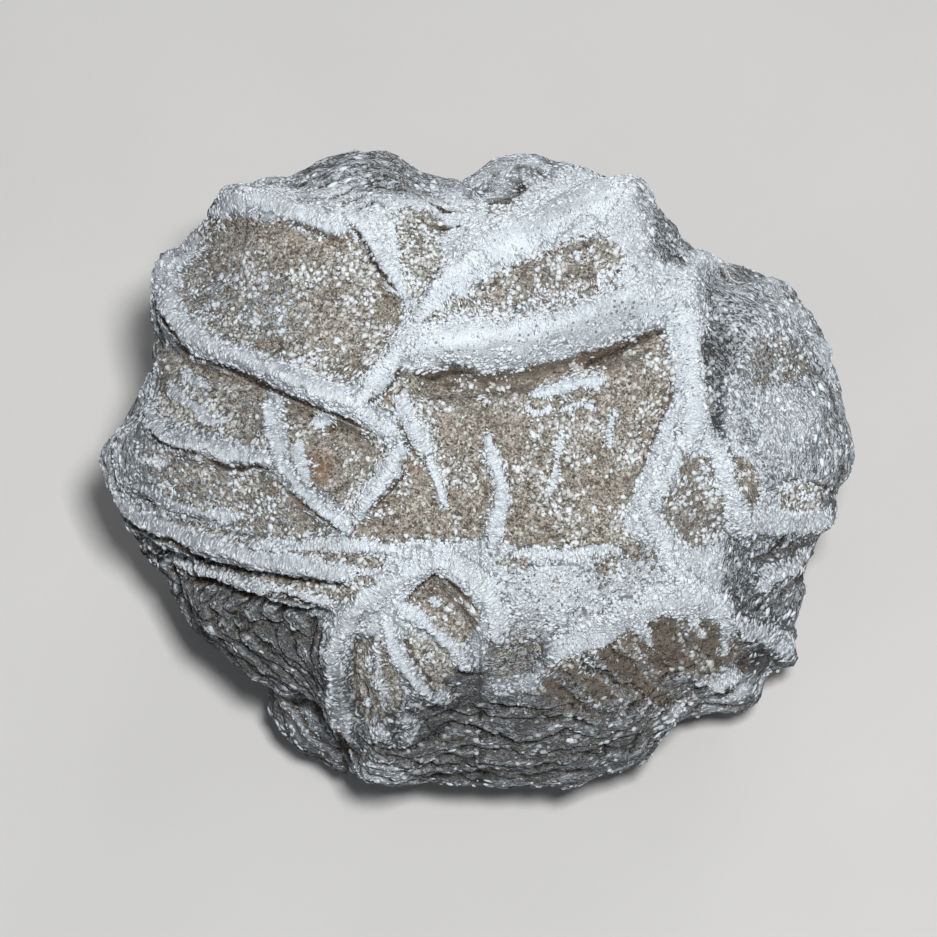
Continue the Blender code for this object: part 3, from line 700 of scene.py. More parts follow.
# Rims of the blades: line (u, v), width, height above the solid's own rim, steep side, share
# of crust, smoothness.
RIMS = (
    Rim("upper_left_outer", ((-18.6, 15.9), (-19.9, 14.6), (-20.6, 13.2), (-20.8, 12.0),
        (-20.3, 10.6), (-19.3, 9.3), (-18.0, 8.5), (-16.5, 8.0)), 2.0, 0.35),
    Rim("upper_left_lower", ((-17.6, 8.3), (-15.0, 7.3), (-13.5, 6.7), (-12.0, 6.2), (-10.5, 5.6),
        (-9.0, 4.9), (-7.8, 4.3)), 1.5, 0.45),
    Rim("upper_left_tip", ((-8.6, 4.6), (-7.4, 3.9), (-6.6, 3.2), (-5.7, 2.6)), 0.8, 0.35),
    Rim("upper_left_top", ((-18.2, 17.4), (-16.0, 17.8), (-14.0, 17.7), (-12.0, 17.1),
        (-10.4, 16.5), (-8.9, 15.9)), 1.6, 0.35),
    Rim("hump_fold", ((-8.6, 17.2), (-7.6, 16.1), (-6.8, 14.8), (-6.2, 13.5), (-5.5, 12.4),
        (-4.8, 11.6)), 1.3, 0.4),
    Rim("crossing_low", ((-7.9, 4.6), (-6.8, 5.8), (-5.9, 7.0), (-5.0, 8.4), (-4.0, 9.9)), 1.4,
        0.45, Lean.BOTH),
    Rim("crossing_high", ((-4.2, 9.6), (-3.2, 10.9), (-2.3, 11.8), (-1.5, 12.6), (-0.6, 13.6),
        (0.4, 14.4)), 1.5, 0.4, Lean.BOTH, smooth=0.4),
    Rim("hump_crest", ((-0.4, 14.2), (2.2, 15.4), (4.4, 16.8), (6.4, 18.0), (8.6, 18.8)), 2.6,
        0.25, smooth=0.7),
    Rim("middle_band", ((-5.0, 7.7), (-3.0, 8.2), (-1.4, 8.7), (1.0, 8.6), (3.0, 8.8), (5.0, 9.3),
        (7.0, 9.9), (9.0, 10.6), (11.0, 11.0), (13.0, 11.2)), 2.3, 0.5, smooth=0.8),
    Rim("right_rim_high", ((13.0, 11.4), (13.3, 9.5), (13.4, 7.6), (13.5, 5.6), (13.6, 3.8),
        (13.6, 2.2)), 1.8, 0.45, Lean.BOTH, smooth=0.6),
    Rim("right_rim_fan", ((12.6, 4.2), (12.0, 2.6), (11.4, 1.2)), 1.2, 0.3, Lean.BOTH),
    Rim("right_rim_left", ((11.6, 1.8), (11.1, 0.2), (10.6, -1.0), (10.5, -2.0), (11.2, -3.0),
        (11.7, -4.2), (12.2, -5.4), (12.8, -6.6)), 0.8, 0.3, Lean.BOTH, 0.85),
    Rim("right_rim_right", ((14.4, 3.6), (15.2, 1.8), (15.8, 0.2), (16.4, -1.4), (17.0, -3.2),
        (17.5, -4.6)), 0.95, 0.3, Lean.BOTH, 0.85),
    Rim("dish_blade_1", ((-5.4, 4.9), (-4.8, 4.2), (-4.4, 3.3), (-3.8, 2.3), (-3.2, 1.5)), 1.15,
        0.55, Lean.BOTH),
    Rim("dish_blade_1_tail", ((-3.3, 1.2), (-3.0, 0.4), (-2.7, -0.5), (-2.4, -1.3), (-2.1, -2.0)),
        0.6, 0.35, Lean.BOTH),
    Rim("dish_blade_2", ((0.5, 2.6), (0.7, 1.5), (1.1, 0.2), (1.4, -0.9), (1.3, -2.2),
        (1.0, -3.4), (0.7, -4.6)), 1.05, 0.55, Lean.BOTH),
    Rim("dish_blade_3", ((3.2, 5.1), (4.4, 5.4), (5.8, 5.8), (7.0, 5.9), (8.0, 6.1)), 0.9, 0.45,
        Lean.BOTH),
    Rim("dish_blade_3_low", ((2.8, 4.4), (3.6, 4.0), (4.6, 4.1)), 0.5, 0.25, Lean.BOTH, 0.8),
    Rim("dish_blade_3_far", ((5.0, 4.0), (6.2, 4.5), (7.4, 4.2)), 0.5, 0.22, Lean.BOTH, 0.7),
    Rim("dish_blade_4", ((5.2, 3.2), (5.0, 2.0), (4.9, 0.8), (4.7, -0.3), (4.2, -1.4)), 0.5, 0.25,
        Lean.BOTH, 0.75),
    Rim("dish_blade_5", ((8.6, 4.2), (8.2, 3.0), (8.4, 1.8)), 0.45, 0.2, Lean.BOTH, 0.7),
    Rim("left_cell_blade_1", ((-4.9, 1.9), (-5.6, 0.9), (-6.3, 0.0), (-6.9, -1.0), (-7.4, -2.0),
        (-7.9, -2.7)), 1.2, 0.55, Lean.BOTH),
    Rim("left_cell_blade_2", ((-13.7, 4.7), (-13.4, 3.4), (-13.0, 1.8), (-12.5, 0.5),
        (-11.7, -0.6), (-10.8, -1.4), (-9.8, -2.3), (-8.8, -3.0), (-8.2, -3.7)), 1.0, 0.5,
        Lean.BOTH),
    Rim("left_cell_spur", ((-11.4, 2.2), (-11.6, 1.2), (-11.3, 0.2), (-11.0, -0.8)), 0.6, 0.3,
        Lean.BOTH),
    Rim("left_cell_chip", ((-10.7, 3.4), (-9.9, 3.6), (-9.2, 4.0)), 0.8, 0.35, Lean.BOTH),
    Rim("ledge_rim_1", ((-21.5, 4.4), (-21.0, 3.3), (-20.0, 2.5), (-18.6, 2.1), (-17.2, 1.8),
        (-16.0, 1.3), (-14.8, 1.2), (-13.3, 1.0)), 1.25, 0.45),
    Rim("ledge_rim_1_high", ((-20.2, 5.9), (-19.4, 4.9), (-18.3, 4.2), (-17.4, 3.6),
        (-16.4, 3.4)), 0.75, 0.3),
    Rim("ledge_chip_1", ((-21.7, 1.1), (-21.0, 0.8), (-20.2, 0.7)), 0.65, 0.25, Lean.BOTH),
    Rim("ledge_chip_2", ((-19.2, 6.5), (-18.4, 6.1), (-17.6, 5.8)), 0.6, 0.25, Lean.BOTH),
    Rim("ledge_rim_upper", ((-22.6, -0.7), (-20.8, -1.5), (-19.0, -2.2), (-17.2, -2.6),
        (-15.2, -2.8)), 0.7, 0.3, cover=0.85),
    Rim("ledge_rim_2", ((-24.0, -1.7), (-22.6, -2.6), (-20.4, -3.5), (-18.4, -4.2), (-16.5, -4.8),
        (-14.5, -5.3), (-12.0, -5.7), (-10.0, -6.1), (-8.4, -6.4)), 1.15, 0.45),
    Rim("ledge_rim_3", ((-15.0, -4.5), (-12.2, -4.5), (-10.0, -4.6), (-7.8, -4.6), (-5.2, -4.8)),
        0.65, 0.35),
    Rim("ledge_rim_4", ((-20.6, -5.2), (-19.2, -6.1), (-17.2, -6.4), (-15.4, -7.0), (-13.2, -7.3),
        (-11.4, -7.7), (-9.6, -8.3)), 0.6, 0.3, cover=0.75),
    Rim("ledge_rim_5", ((-23.2, -3.4), (-22.4, -4.2), (-21.4, -5.2), (-20.2, -6.2)), 0.7, 0.3,
        cover=0.8),
    Rim("arch_left", ((-8.6, -17.6), (-9.2, -15.4), (-9.4, -13.2), (-9.3, -11.2), (-8.6, -9.6),
        (-7.2, -8.1), (-5.6, -7.0), (-4.0, -6.1), (-2.8, -5.5)), 1.45, 0.45, Lean.BOTH),
    Rim("arch_right", ((-3.2, -5.5), (-1.8, -5.5), (-0.6, -6.4), (0.4, -7.6), (0.9, -8.8),
        (1.0, -10.4)), 1.3, 0.4, Lean.BOTH),
    Rim("arch_blade_1", ((-5.4, -8.2), (-4.4, -8.9), (-3.4, -9.5), (-2.5, -10.4), (-1.7, -11.2),
        (-0.7, -12.3)), 0.85, 0.5, Lean.BOTH),
    Rim("arch_blade_2", ((-6.2, -9.2), (-5.7, -10.5), (-5.1, -11.8), (-4.5, -12.8), (-3.7, -13.6),
        (-3.0, -14.4)), 0.75, 0.45, Lean.BOTH),
    Rim("arch_blade_3", ((-6.7, -10.4), (-6.6, -12.0), (-6.3, -13.6), (-6.1, -15.2)), 0.4, 0.25,
        Lean.BOTH, 0.7),
    Rim("arch_chip_1", ((-3.2, -7.9), (-2.7, -8.3)), 0.6, 0.2, Lean.BOTH, 0.9),
    Rim("arch_chip_2", ((-7.4, -11.8), (-7.1, -12.5)), 0.5, 0.2, Lean.BOTH, 0.8),
    Rim("arch_chip_3", ((-6.7, -13.3), (-6.2, -13.9), (-6.4, -14.4)), 0.6, 0.22, Lean.BOTH, 0.9),
    Rim("arch_chip_4", ((-7.5, -14.4), (-7.1, -15.1)), 0.55, 0.2, Lean.BOTH, 0.8),
    Rim("arch_chip_5", ((-3.4, -11.4), (-2.9, -12.0)), 0.45, 0.18, Lean.BOTH, 0.8),
    Rim("arch_lump_1", ((-6.9, -16.9), (-6.1, -16.4)), 1.3, 0.45, Lean.BOTH, 0.9),
    Rim("arch_lump_2", ((-5.0, -15.4), (-4.4, -16.6), (-4.9, -17.2)), 1.2, 0.45, Lean.BOTH, 0.9),
    Rim("arch_lump_3", ((-2.9, -14.0), (-2.1, -14.6)), 1.0, 0.35, Lean.BOTH, 0.9),
    Rim("shelf_edge", ((2.2, -5.0), (4.2, -4.9), (6.2, -4.9), (7.8, -4.6), (9.0, -4.9)), 0.7,
        0.25, Lean.LEFT, 0.8),
    Rim("shelf_lip", ((4.8, -11.6), (6.6, -10.9), (8.4, -10.2), (9.6, -9.0), (11.8, -8.4),
        (14.4, -8.4), (16.0, -9.0)), 1.5, 0.25, Lean.RIGHT),
    Rim("lip_drip_1", ((9.8, -9.2), (10.7, -10.1), (11.1, -11.0)), 0.9, 0.15, Lean.BOTH, 0.8),
    Rim("lip_drip_2", ((13.6, -8.8), (13.9, -9.7), (14.6, -10.5)), 0.7, 0.15, Lean.BOTH, 0.7),
    Rim("lip_drip_3", ((16.4, -9.4), (15.9, -10.6), (16.1, -11.8)), 0.9, 0.15, Lean.BOTH, 0.8),
    Rim("lip_drip_4", ((5.4, -11.4), (6.6, -12.0), (7.4, -12.8)), 0.6, 0.12, Lean.BOTH, 0.6),
    Rim("lobe_fold", ((17.6, -3.4), (19.4, -3.0), (21.4, -3.2), (23.2, -2.8)), 1.5, 0.25),
    Rim("heel_fold", ((18.4, -7.6), (19.8, -6.6), (21.4, -5.8), (22.0, -5.2)), 0.9, 0.3),
    Rim("knob_rim", ((17.0, -9.9), (18.2, -10.6), (19.6, -11.2), (20.8, -12.0)), 1.2, 0.35),
    Rim("toe_rim", ((14.4, -13.6), (16.0, -13.8), (17.4, -13.2), (18.8, -12.6)), 0.8, 0.25),
)

# Clefts beside the rims: line (u, v), width, depth below the solid, dirt and painted shade.
CREVICES = (
    Crevice("under_upper_left", ((-21.5, 12.0), (-21.1, 10.7), (-20.1, 9.4), (-19.4, 8.3),
        (-18.0, 7.5), (-16.2, 6.9), (-14.6, 6.1), (-12.4, 5.1), (-10.4, 4.3), (-8.4, 3.5),
        (-6.6, 2.5)), 0.42, 0.42, 0.9),
    Crevice("under_upper_left_top", ((-13.4, 16.5), (-11.6, 16.2), (-10.2, 15.6), (-8.9, 15.1)),
        0.4, 0.3, 0.6),
    Crevice("beside_hump_fold", ((-8.5, 16.3), (-7.6, 15.2), (-6.9, 13.8), (-6.2, 12.8),
        (-5.3, 11.8)), 0.45, 0.4, 0.9),
    Crevice("beside_crossing", ((-7.4, 4.5), (-6.2, 5.2), (-5.4, 6.2), (-5.0, 7.2)), 0.5, 0.35,
        0.7),
    Crevice("under_middle_band", ((-4.6, 6.6), (-3.0, 6.5), (-1.6, 6.9), (0.4, 6.1), (2.2, 6.4),
        (4.2, 6.9), (6.4, 7.4), (8.0, 8.0), (9.8, 8.8), (11.6, 9.2)), 1.5, 0.45, 0.42),
    Crevice("under_band_right", ((6.6, 7.0), (8.0, 7.7), (9.4, 8.3), (10.8, 9.0), (12.0, 9.4)),
        0.7, 0.4, 0.72),
    Crevice("under_band_left", ((-4.4, 6.5), (-3.2, 6.2), (-2.0, 6.6), (-0.6, 6.5)), 0.5, 0.3,
        0.65),
    Crevice("under_middle_band_foot", ((-3.4, 5.9), (-1.4, 5.7), (0.6, 5.3), (2.4, 5.6),
        (4.0, 6.2)), 0.35, 0.15, 0.6),
    Crevice("outside_right_rim", ((14.4, 9.0), (14.5, 7.4), (14.7, 5.6), (15.1, 4.0),
        (15.6, 2.8)), 0.4, 0.3, 0.35),
    Crevice("inside_right_rim", ((12.4, 7.4), (12.3, 5.4), (11.7, 3.8), (11.0, 2.2), (10.4, 0.6)),
        0.45, 0.25, 0.5),
    Crevice("left_of_dish_blade_1", ((-5.3, 3.8), (-4.8, 2.6), (-4.2, 1.5), (-3.6, 0.8)), 0.3,
        0.25, 0.6),
    Crevice("right_of_cell_blade_1", ((-4.6, 0.3), (-5.4, -0.6), (-6.4, -1.6), (-7.2, -2.5)), 0.5,
        0.35, 0.7),
    Crevice("left_of_cell_blade_2", ((-13.2, -0.2), (-12.4, -1.0), (-11.4, -1.8), (-10.0, -2.8),
        (-8.9, -3.6)), 0.4, 0.3, 0.6),
    Crevice("under_ledge_1", ((-21.7, 3.2), (-20.9, 2.3), (-19.9, 1.8), (-18.4, 1.4),
        (-17.2, 0.9), (-16.0, 0.4), (-14.6, 0.6), (-13.3, 0.4)), 0.38, 0.45, 0.95),
    Crevice("under_ledge_upper", ((-21.4, -2.6), (-19.4, -3.1), (-17.0, -3.6), (-14.6, -4.0)),
        0.35, 0.25, 0.5),
    Crevice("under_ledge_2", ((-24.0, -2.6), (-22.6, -3.4), (-21.3, -4.1), (-20.2, -4.3),
        (-19.3, -4.9), (-18.3, -5.5), (-17.0, -5.9), (-15.4, -6.2), (-13.0, -6.5), (-10.0, -6.9),
        (-8.2, -7.2)), 0.5, 0.6),
    Crevice("under_ledge_4", ((-22.2, -4.5), (-21.2, -5.6), (-20.2, -6.4), (-19.2, -6.9),
        (-17.4, -7.0), (-16.2, -7.3), (-15.0, -7.8), (-13.0, -7.8), (-11.2, -8.2), (-9.6, -8.8)),
        0.55, 0.7),
    Crevice("under_ledge_5", ((-23.6, -3.7), (-22.8, -4.8), (-21.8, -6.0), (-20.6, -7.0),
        (-19.6, -7.6)), 0.4, 0.5),
    Crevice("skirt_cavity_1", ((-16.2, -8.6), (-15.3, -9.6), (-14.0, -9.8), (-12.8, -9.6)), 0.7,
        0.6),
    Crevice("skirt_cavity_2", ((-12.9, -10.6), (-12.0, -10.3), (-11.0, -10.9)), 0.6, 0.5),
    Crevice("skirt_cavity_3", ((-11.6, -8.9), (-10.8, -9.7), (-10.2, -10.6)), 0.45, 0.4),
    Crevice("skirt_crack_1", ((-20.4, -8.0), (-18.6, -9.2), (-16.4, -10.4), (-14.8, -11.6)), 0.35,
        0.4),
    Crevice("skirt_crack_2", ((-18.6, -8.0), (-16.8, -9.4), (-14.4, -10.8), (-12.4, -12.4)), 0.35,
        0.35, 0.8),
    Crevice("skirt_crack_3", ((-19.4, -9.6), (-17.6, -11.2), (-15.6, -12.8), (-14.2, -13.8)), 0.4,
        0.4),
    Crevice("beside_knob", ((-12.6, -15.1), (-11.4, -15.4), (-10.6, -15.9), (-9.8, -16.6),
        (-9.1, -17.3), (-8.8, -18.6), (-8.7, -20.0)), 0.8, 0.8),
    Crevice("inside_arch_left", ((-8.1, -10.2), (-8.2, -12.0), (-7.9, -14.2), (-7.4, -16.2)), 0.5,
        0.35, 0.6),
    Crevice("inside_arch_top", ((-4.8, -8.0), (-3.8, -7.0), (-2.9, -6.4), (-1.9, -6.9),
        (-0.8, -7.9), (0.0, -8.8)), 0.45, 0.35, 0.7),
    Crevice("beside_arch_blade_2", ((-4.9, -10.3), (-4.4, -11.6), (-3.7, -12.7), (-2.9, -13.8)),
        0.4, 0.35, 0.7),
    Crevice("beside_lumps", ((-7.2, -15.6), (-6.9, -17.6), (-5.6, -17.9), (-3.6, -17.6)), 0.35,
        0.35, 0.8),
    Crevice("bottom_crack_1", ((-1.0, -15.2), (0.8, -15.4), (2.4, -15.0), (4.2, -15.6),
        (6.0, -15.2), (7.8, -15.6)), 0.3, 0.3, 0.8),
    Crevice("bottom_crack_2", ((-4.4, -17.4), (-2.0, -17.4), (0.4, -17.0), (2.6, -17.6),
        (5.0, -17.0), (7.2, -17.4), (9.6, -16.8)), 0.35, 0.35, 0.9),
    Crevice("bottom_crack_3", ((-6.8, -18.2), (-4.4, -18.8), (-2.0, -19.1), (0.8, -18.2),
        (3.2, -18.6), (6.4, -18.2), (9.4, -18.0)), 0.35, 0.35, 0.9),
    Crevice("bottom_crack_4", ((-5.6, -19.6), (-2.4, -20.0), (1.0, -19.6), (4.6, -20.0)), 0.3,
        0.25, 0.8),
    Crevice("shelf_shadow", ((4.6, -12.6), (6.6, -11.6), (8.8, -10.8), (9.8, -9.6)), 0.9, 0.15,
        0.4),
    Crevice("dish_crack_1", ((5.0, -13.8), (6.2, -14.6), (7.0, -15.4)), 0.3, 0.3, 0.8),
    Crevice("dish_crack_2", ((11.0, -15.4), (12.6, -15.0), (14.6, -15.4), (16.4, -14.2),
        (17.6, -13.6)), 0.4, 0.4, 0.9),
    Crevice("dish_crack_3", ((6.4, -11.6), (7.0, -12.6), (8.3, -12.9), (9.0, -13.8),
        (10.4, -14.1), (10.9, -15.0)), 0.42, 0.4, 1.0),
    Crevice("dish_crack_4", ((8.3, -10.8), (8.8, -11.7), (9.9, -12.1), (10.3, -12.9)), 0.26, 0.25,
        0.8),
    Crevice("dish_crack_5", ((4.8, -12.6), (5.9, -13.0), (6.3, -13.9), (7.6, -14.4)), 0.34, 0.3,
        0.9),
    Crevice("dish_crack_6", ((10.2, -10.4), (11.4, -11.6), (11.9, -12.4), (13.0, -12.8)), 0.22,
        0.2, 0.7),
    Crevice("dish_crack_7", ((13.0, -9.7), (13.4, -10.8), (14.4, -11.7), (15.6, -12.0)), 0.24,
        0.22, 0.8),
    Crevice("toe_crack", ((16.4, -12.8), (17.6, -12.4), (18.6, -11.8), (20.2, -12.8)), 0.4, 0.35,
        0.8),
    Crevice("lobe_crease", ((19.4, -0.5), (20.6, -0.3), (22.0, -0.5), (23.4, -1.0), (24.0, -1.8)),
        0.4, 0.3, 0.5),
    Crevice("heel_crease", ((17.4, -5.6), (18.8, -5.4), (20.4, -4.9), (21.6, -4.4), (22.8, -3.8)),
        0.4, 0.4, 0.8),
    Crevice("heel_crack", ((19.0, -8.6), (20.2, -7.6), (21.4, -6.8), (22.0, -6.0)), 0.4, 0.35,
        0.8),
    Crevice("between_top_lobes", ((-3.4, 19.6), (-1.6, 19.4), (0.6, 19.4), (3.0, 19.5),
        (5.4, 19.9)), 0.35, 0.3, 0.35),
)

# Stretches unlike the rest: outline (u, v), share of crust, dirt and painted shade, depth,
# softness of the edge, greyness with some painted shade, cracks between layers (below 0 where
# there are fewer), dust and painted shade.
PATCHES = (
    Patch("right_lobe", ((14.6, 13.6), (18.0, 13.8), (21.0, 12.4), (23.4, 9.0), (24.8, 5.0),
        (25.4, 1.5), (24.4, -1.6), (22.4, -3.4), (18.0, -3.0), (16.8, 0.6), (16.2, 4.0),
        (15.6, 8.0), (14.4, 11.0)), 0.94, soft=1.6, grey=0.48, layers=-0.8),
    Patch("lobe_outer", ((18.6, 14.0), (21.6, 12.6), (24.6, 9.4), (26.4, 4.0), (26.6, -0.5),
        (24.8, -1.8), (24.7, 1.5), (23.7, 5.4), (21.8, 9.2), (19.0, 12.2)), 1.0, soft=1.0,
        grey=0.22),
    Patch("right_lobe_bright", ((17.2, 3.2), (19.0, 4.4), (21.6, 4.2), (23.2, 2.6), (22.6, 0.6),
        (19.6, 0.5), (17.8, 1.2)), 1.0, soft=1.6, grey=0.44),
    Patch("top_layers", ((-14.0, 20.6), (-10.0, 19.0), (-7.0, 18.6), (-4.4, 18.2), (-1.0, 18.2),
        (2.6, 18.6), (6.0, 19.9), (4.0, 22.6), (0.0, 22.6), (-6.0, 23.0), (-12.0, 22.0)), 0.98,
        soft=1.2, grey=0.46, layers=0.25),
    Patch("far_top", ((-2.0, 19.9), (0.4, 19.6), (3.5, 19.7), (6.4, 20.2), (8.0, 21.4),
        (3.0, 23.0), (-2.6, 21.6)), 1.0, soft=0.6, grey=0.3),
    Patch("heel", ((16.2, -2.8), (18.0, -3.2), (23.8, -1.8), (23.6, -4.0), (22.0, -8.0),
        (21.8, -13.2), (18.0, -13.4), (16.6, -10.0), (15.6, -6.0)), 0.9, 0.02, soft=1.6,
        grey=0.68, layers=0.7, dust_and_shade_amount=0.12),
    Patch("left_lobe", ((-25.8, -2.2), (-25.8, 3.0), (-23.4, 6.4), (-21.6, 8.4), (-21.2, 6.0),
        (-21.8, 3.6), (-22.6, 1.0), (-22.6, -1.2)), 0.84, 0.0, soft=1.0, grey=0.3, layers=0.4,
        dust_and_shade_amount=-0.25),
    Patch("hump_side", ((10.4, 19.4), (12.0, 17.8), (14.4, 14.8), (13.4, 13.4), (11.6, 14.2),
        (10.6, 16.0), (10.0, 18.0)), 0.86, 0.0, soft=1.0, grey=0.42),
    Patch("arch_lower", ((-9.8, -12.6), (-8.0, -18.4), (-4.0, -18.6), (-0.4, -16.0), (0.8, -12.6),
        (-1.4, -12.0), (-4.0, -14.6)), 0.74, 0.08, soft=1.2, grey=0.38, layers=0.5, dust_and_shade_amount=0.3),
    Patch("arch_outer", ((-10.8, -9.0), (-8.2, -7.4), (-5.8, -6.0), (-5.2, -7.6), (-7.2, -9.4),
        (-8.0, -11.4), (-8.2, -17.6), (-10.6, -17.0), (-10.8, -12.0)), 0.86, soft=1.0, grey=0.3,
        dust_and_shade_amount=0.12),
    Patch("upper_left_dish", ((-18.4, 16.5), (-17.4, 16.9), (-15.0, 16.8), (-13.2, 16.5),
        (-11.4, 16.0), (-9.6, 15.3), (-8.4, 15.9), (-7.2, 14.4), (-6.4, 12.8), (-5.2, 11.6),
        (-4.8, 10.4), (-5.4, 9.0), (-6.3, 7.6), (-7.4, 6.2), (-8.8, 5.6), (-10.4, 6.3),
        (-13.0, 7.4), (-15.4, 8.3), (-17.2, 9.4), (-18.8, 10.6), (-19.6, 12.0), (-19.6, 13.6),
        (-18.9, 15.0)), 0.2),
    Patch("upper_left_flaky", ((-19.4, 14.6), (-16.4, 14.0), (-13.4, 13.2), (-11.4, 11.6),
        (-11.6, 9.2), (-14.4, 8.4), (-17.4, 9.6), (-19.4, 12.0)), 0.46, soft=2.5),
    Patch("between_top_rims", ((-5.6, 17.2), (-3.6, 17.4), (-2.4, 16.6), (-2.6, 15.0),
        (-2.2, 13.6), (-3.0, 12.2), (-4.0, 11.0), (-4.8, 11.8), (-5.2, 13.2), (-5.4, 15.0)), 0.34,
        soft=1.2),
    Patch("upper_right_valley", ((-2.6, 11.2), (-1.0, 12.2), (0.4, 12.6), (1.8, 13.4),
        (3.4, 14.2), (5.0, 14.8), (6.4, 15.2), (7.8, 15.5), (9.4, 14.4), (9.6, 13.4), (8.4, 12.7),
        (6.6, 12.0), (5.0, 11.1), (3.4, 10.6), (1.6, 10.5), (0.0, 10.6), (-1.4, 10.6)), 0.25,
        sink=0.25),
    Patch("hump_stain", ((0.2, 17.2), (1.2, 18.4), (2.6, 18.3), (2.2, 17.2), (0.8, 16.6)), 0.38),
    Patch("middle_dish", ((-4.8, 6.6), (-2.4, 6.6), (0.4, 6.4), (3.0, 6.8), (5.0, 7.2),
        (8.0, 8.0), (10.0, 8.9), (11.8, 9.3), (12.5, 7.6), (12.4, 5.4), (11.9, 4.0), (11.1, 2.4),
        (10.6, 0.8), (10.0, -0.4), (9.6, -1.6), (9.0, -3.0), (9.8, -4.0), (11.2, -5.2),
        (11.8, -6.8), (10.8, -6.6), (9.6, -5.4), (8.6, -6.4), (7.4, -5.4), (6.0, -4.6),
        (3.6, -5.0), (1.8, -4.4), (0.6, -3.8), (-1.5, -4.2), (-4.4, -4.2), (-6.5, -4.2),
        (-8.4, -3.9), (-7.4, -2.4), (-6.6, -1.2), (-5.2, 0.2), (-4.6, 1.4), (-5.0, 2.6),
        (-5.2, 4.0), (-6.8, 4.6), (-6.0, 5.6), (-5.2, 6.4)), 0.15, sink=0.1),
    Patch("left_cell", ((-12.4, 5.2), (-10.8, 4.6), (-8.6, 3.6), (-6.8, 2.5), (-5.8, 2.0),
        (-6.2, 0.6), (-7.0, -0.8), (-8.0, -2.4), (-9.4, -1.6), (-10.6, -0.6), (-11.4, 0.6),
        (-12.0, 2.0), (-12.6, 3.6)), 0.14, 0.12, 0.25),
    Patch("under_upper_left", ((-20.2, 8.4), (-18.0, 7.6), (-16.0, 6.8), (-14.0, 5.8),
        (-13.8, 4.0), (-13.6, 2.4), (-13.4, 1.4), (-15.0, 2.0), (-17.0, 2.6), (-19.0, 3.0),
        (-20.4, 3.6), (-21.2, 5.0), (-21.4, 6.8), (-21.2, 8.6)), 0.3),
    Patch("ledge_floor", ((-21.2, 2.0), (-19.4, 1.2), (-17.4, 1.0), (-15.6, 0.3), (-13.8, 0.5),
        (-12.9, -0.4), (-11.8, -1.4), (-10.4, -2.6), (-9.0, -3.8), (-11.0, -4.2), (-14.0, -4.2),
        (-15.2, -3.4), (-16.0, -2.2), (-18.0, -1.6), (-20.2, -0.8), (-21.6, 0.4)), 0.36),
    Patch("between_ledges", ((-21.0, -2.7), (-18.0, -3.3), (-15.0, -4.1), (-9.0, -4.9),
        (-6.0, -5.2), (-6.2, -6.0), (-8.0, -5.9), (-10.0, -5.4), (-12.0, -5.0), (-15.5, -4.6),
        (-18.0, -3.8)), 0.22, soft=0.4),
    Patch("under_ledges", ((-15.4, -6.3), (-12.0, -6.4), (-8.6, -6.9), (-7.4, -6.2), (-6.6, -6.9),
        (-7.6, -8.0), (-8.8, -8.2), (-10.6, -7.6), (-13.0, -7.2), (-15.0, -6.9)), 0.25, soft=0.4),
    Patch("arch_pocket", ((-4.7, -8.0), (-3.0, -6.4), (-2.4, -6.5), (-1.0, -7.6), (0.0, -8.6),
        (-0.2, -9.6), (-0.8, -10.8), (-1.6, -10.6), (-2.6, -9.8), (-3.4, -9.0)), 0.14, 0.0, 0.3,
        0.5),
    Patch("arch_wedge", ((-4.6, -10.0), (-3.0, -10.8), (-2.0, -11.6), (-1.8, -12.8),
        (-2.8, -14.0), (-3.6, -13.0), (-4.4, -12.0)), 0.15, 0.1, 0.3, 0.5),
    Patch("arch_column", ((-8.0, -10.8), (-6.8, -10.2), (-5.8, -11.4), (-5.2, -13.0),
        (-5.2, -14.4), (-6.4, -16.0), (-7.2, -17.4), (-7.7, -15.0), (-8.1, -13.0)), 0.18, 0.1,
        0.3, 0.5),
    Patch("shelf_mottle", ((0.8, -5.0), (4.0, -4.6), (8.0, -4.8), (12.0, -5.4), (14.6, -6.4),
        (12.0, -8.4), (8.4, -9.6), (4.6, -11.2), (1.4, -10.6)), 0.7, soft=2.0, grey=0.18),
    Patch("shelf_stain_1", ((1.4, -5.3), (2.8, -5.1), (3.6, -5.7), (2.2, -6.1)), 0.25),
    Patch("shelf_stain_2", ((7.2, -5.5), (8.6, -5.3), (9.2, -6.2), (7.8, -6.6)), 0.25),
    Patch("shelf_grey", ((0.6, -10.4), (3.8, -10.2), (4.4, -12.2), (2.0, -13.2), (0.2, -12.6)),
        0.5, 0.08, soft=1.4, grey=0.5),
    Patch("band_upper_edge", ((-4.8, 10.6), (-2.0, 10.8), (2.0, 11.0), (5.0, 11.6), (8.6, 13.0),
        (9.4, 12.0), (6.6, 11.0), (3.4, 10.1), (0.6, 9.7), (-2.2, 9.7), (-4.6, 8.9)), 0.5,
        soft=0.8),
    Patch("lower_right_dish", ((4.4, -12.6), (6.4, -11.7), (8.8, -10.8), (9.8, -9.5),
        (12.0, -9.1), (15.0, -9.5), (16.6, -10.4), (17.4, -11.6), (16.4, -12.6), (14.8, -13.6),
        (14.6, -14.8), (12.4, -15.0), (10.0, -14.6), (8.0, -16.0), (5.2, -15.6), (3.6, -13.8)),
        0.2, 0.56, 0.2, 1.4, 0.2, 0.25, 0.3),
    Patch("dish_rib_1", ((4.4, -12.4), (5.2, -12.3), (7.2, -14.2), (8.6, -15.6), (7.8, -15.8),
        (6.2, -14.6)), 0.58, soft=0.7, grey=0.5, dust_and_shade_amount=0.1),
    Patch("dish_rib_2", ((6.6, -11.7), (7.4, -11.6), (9.0, -13.2), (10.4, -14.2), (9.8, -14.7),
        (8.0, -13.5)), 0.56, soft=0.6, grey=0.5, dust_and_shade_amount=0.1),
    Patch("dish_rib_3", ((9.2, -10.8), (9.8, -10.9), (11.2, -12.7), (12.4, -13.6), (11.8, -13.9),
        (10.4, -12.8)), 0.5, soft=0.6, grey=0.4),
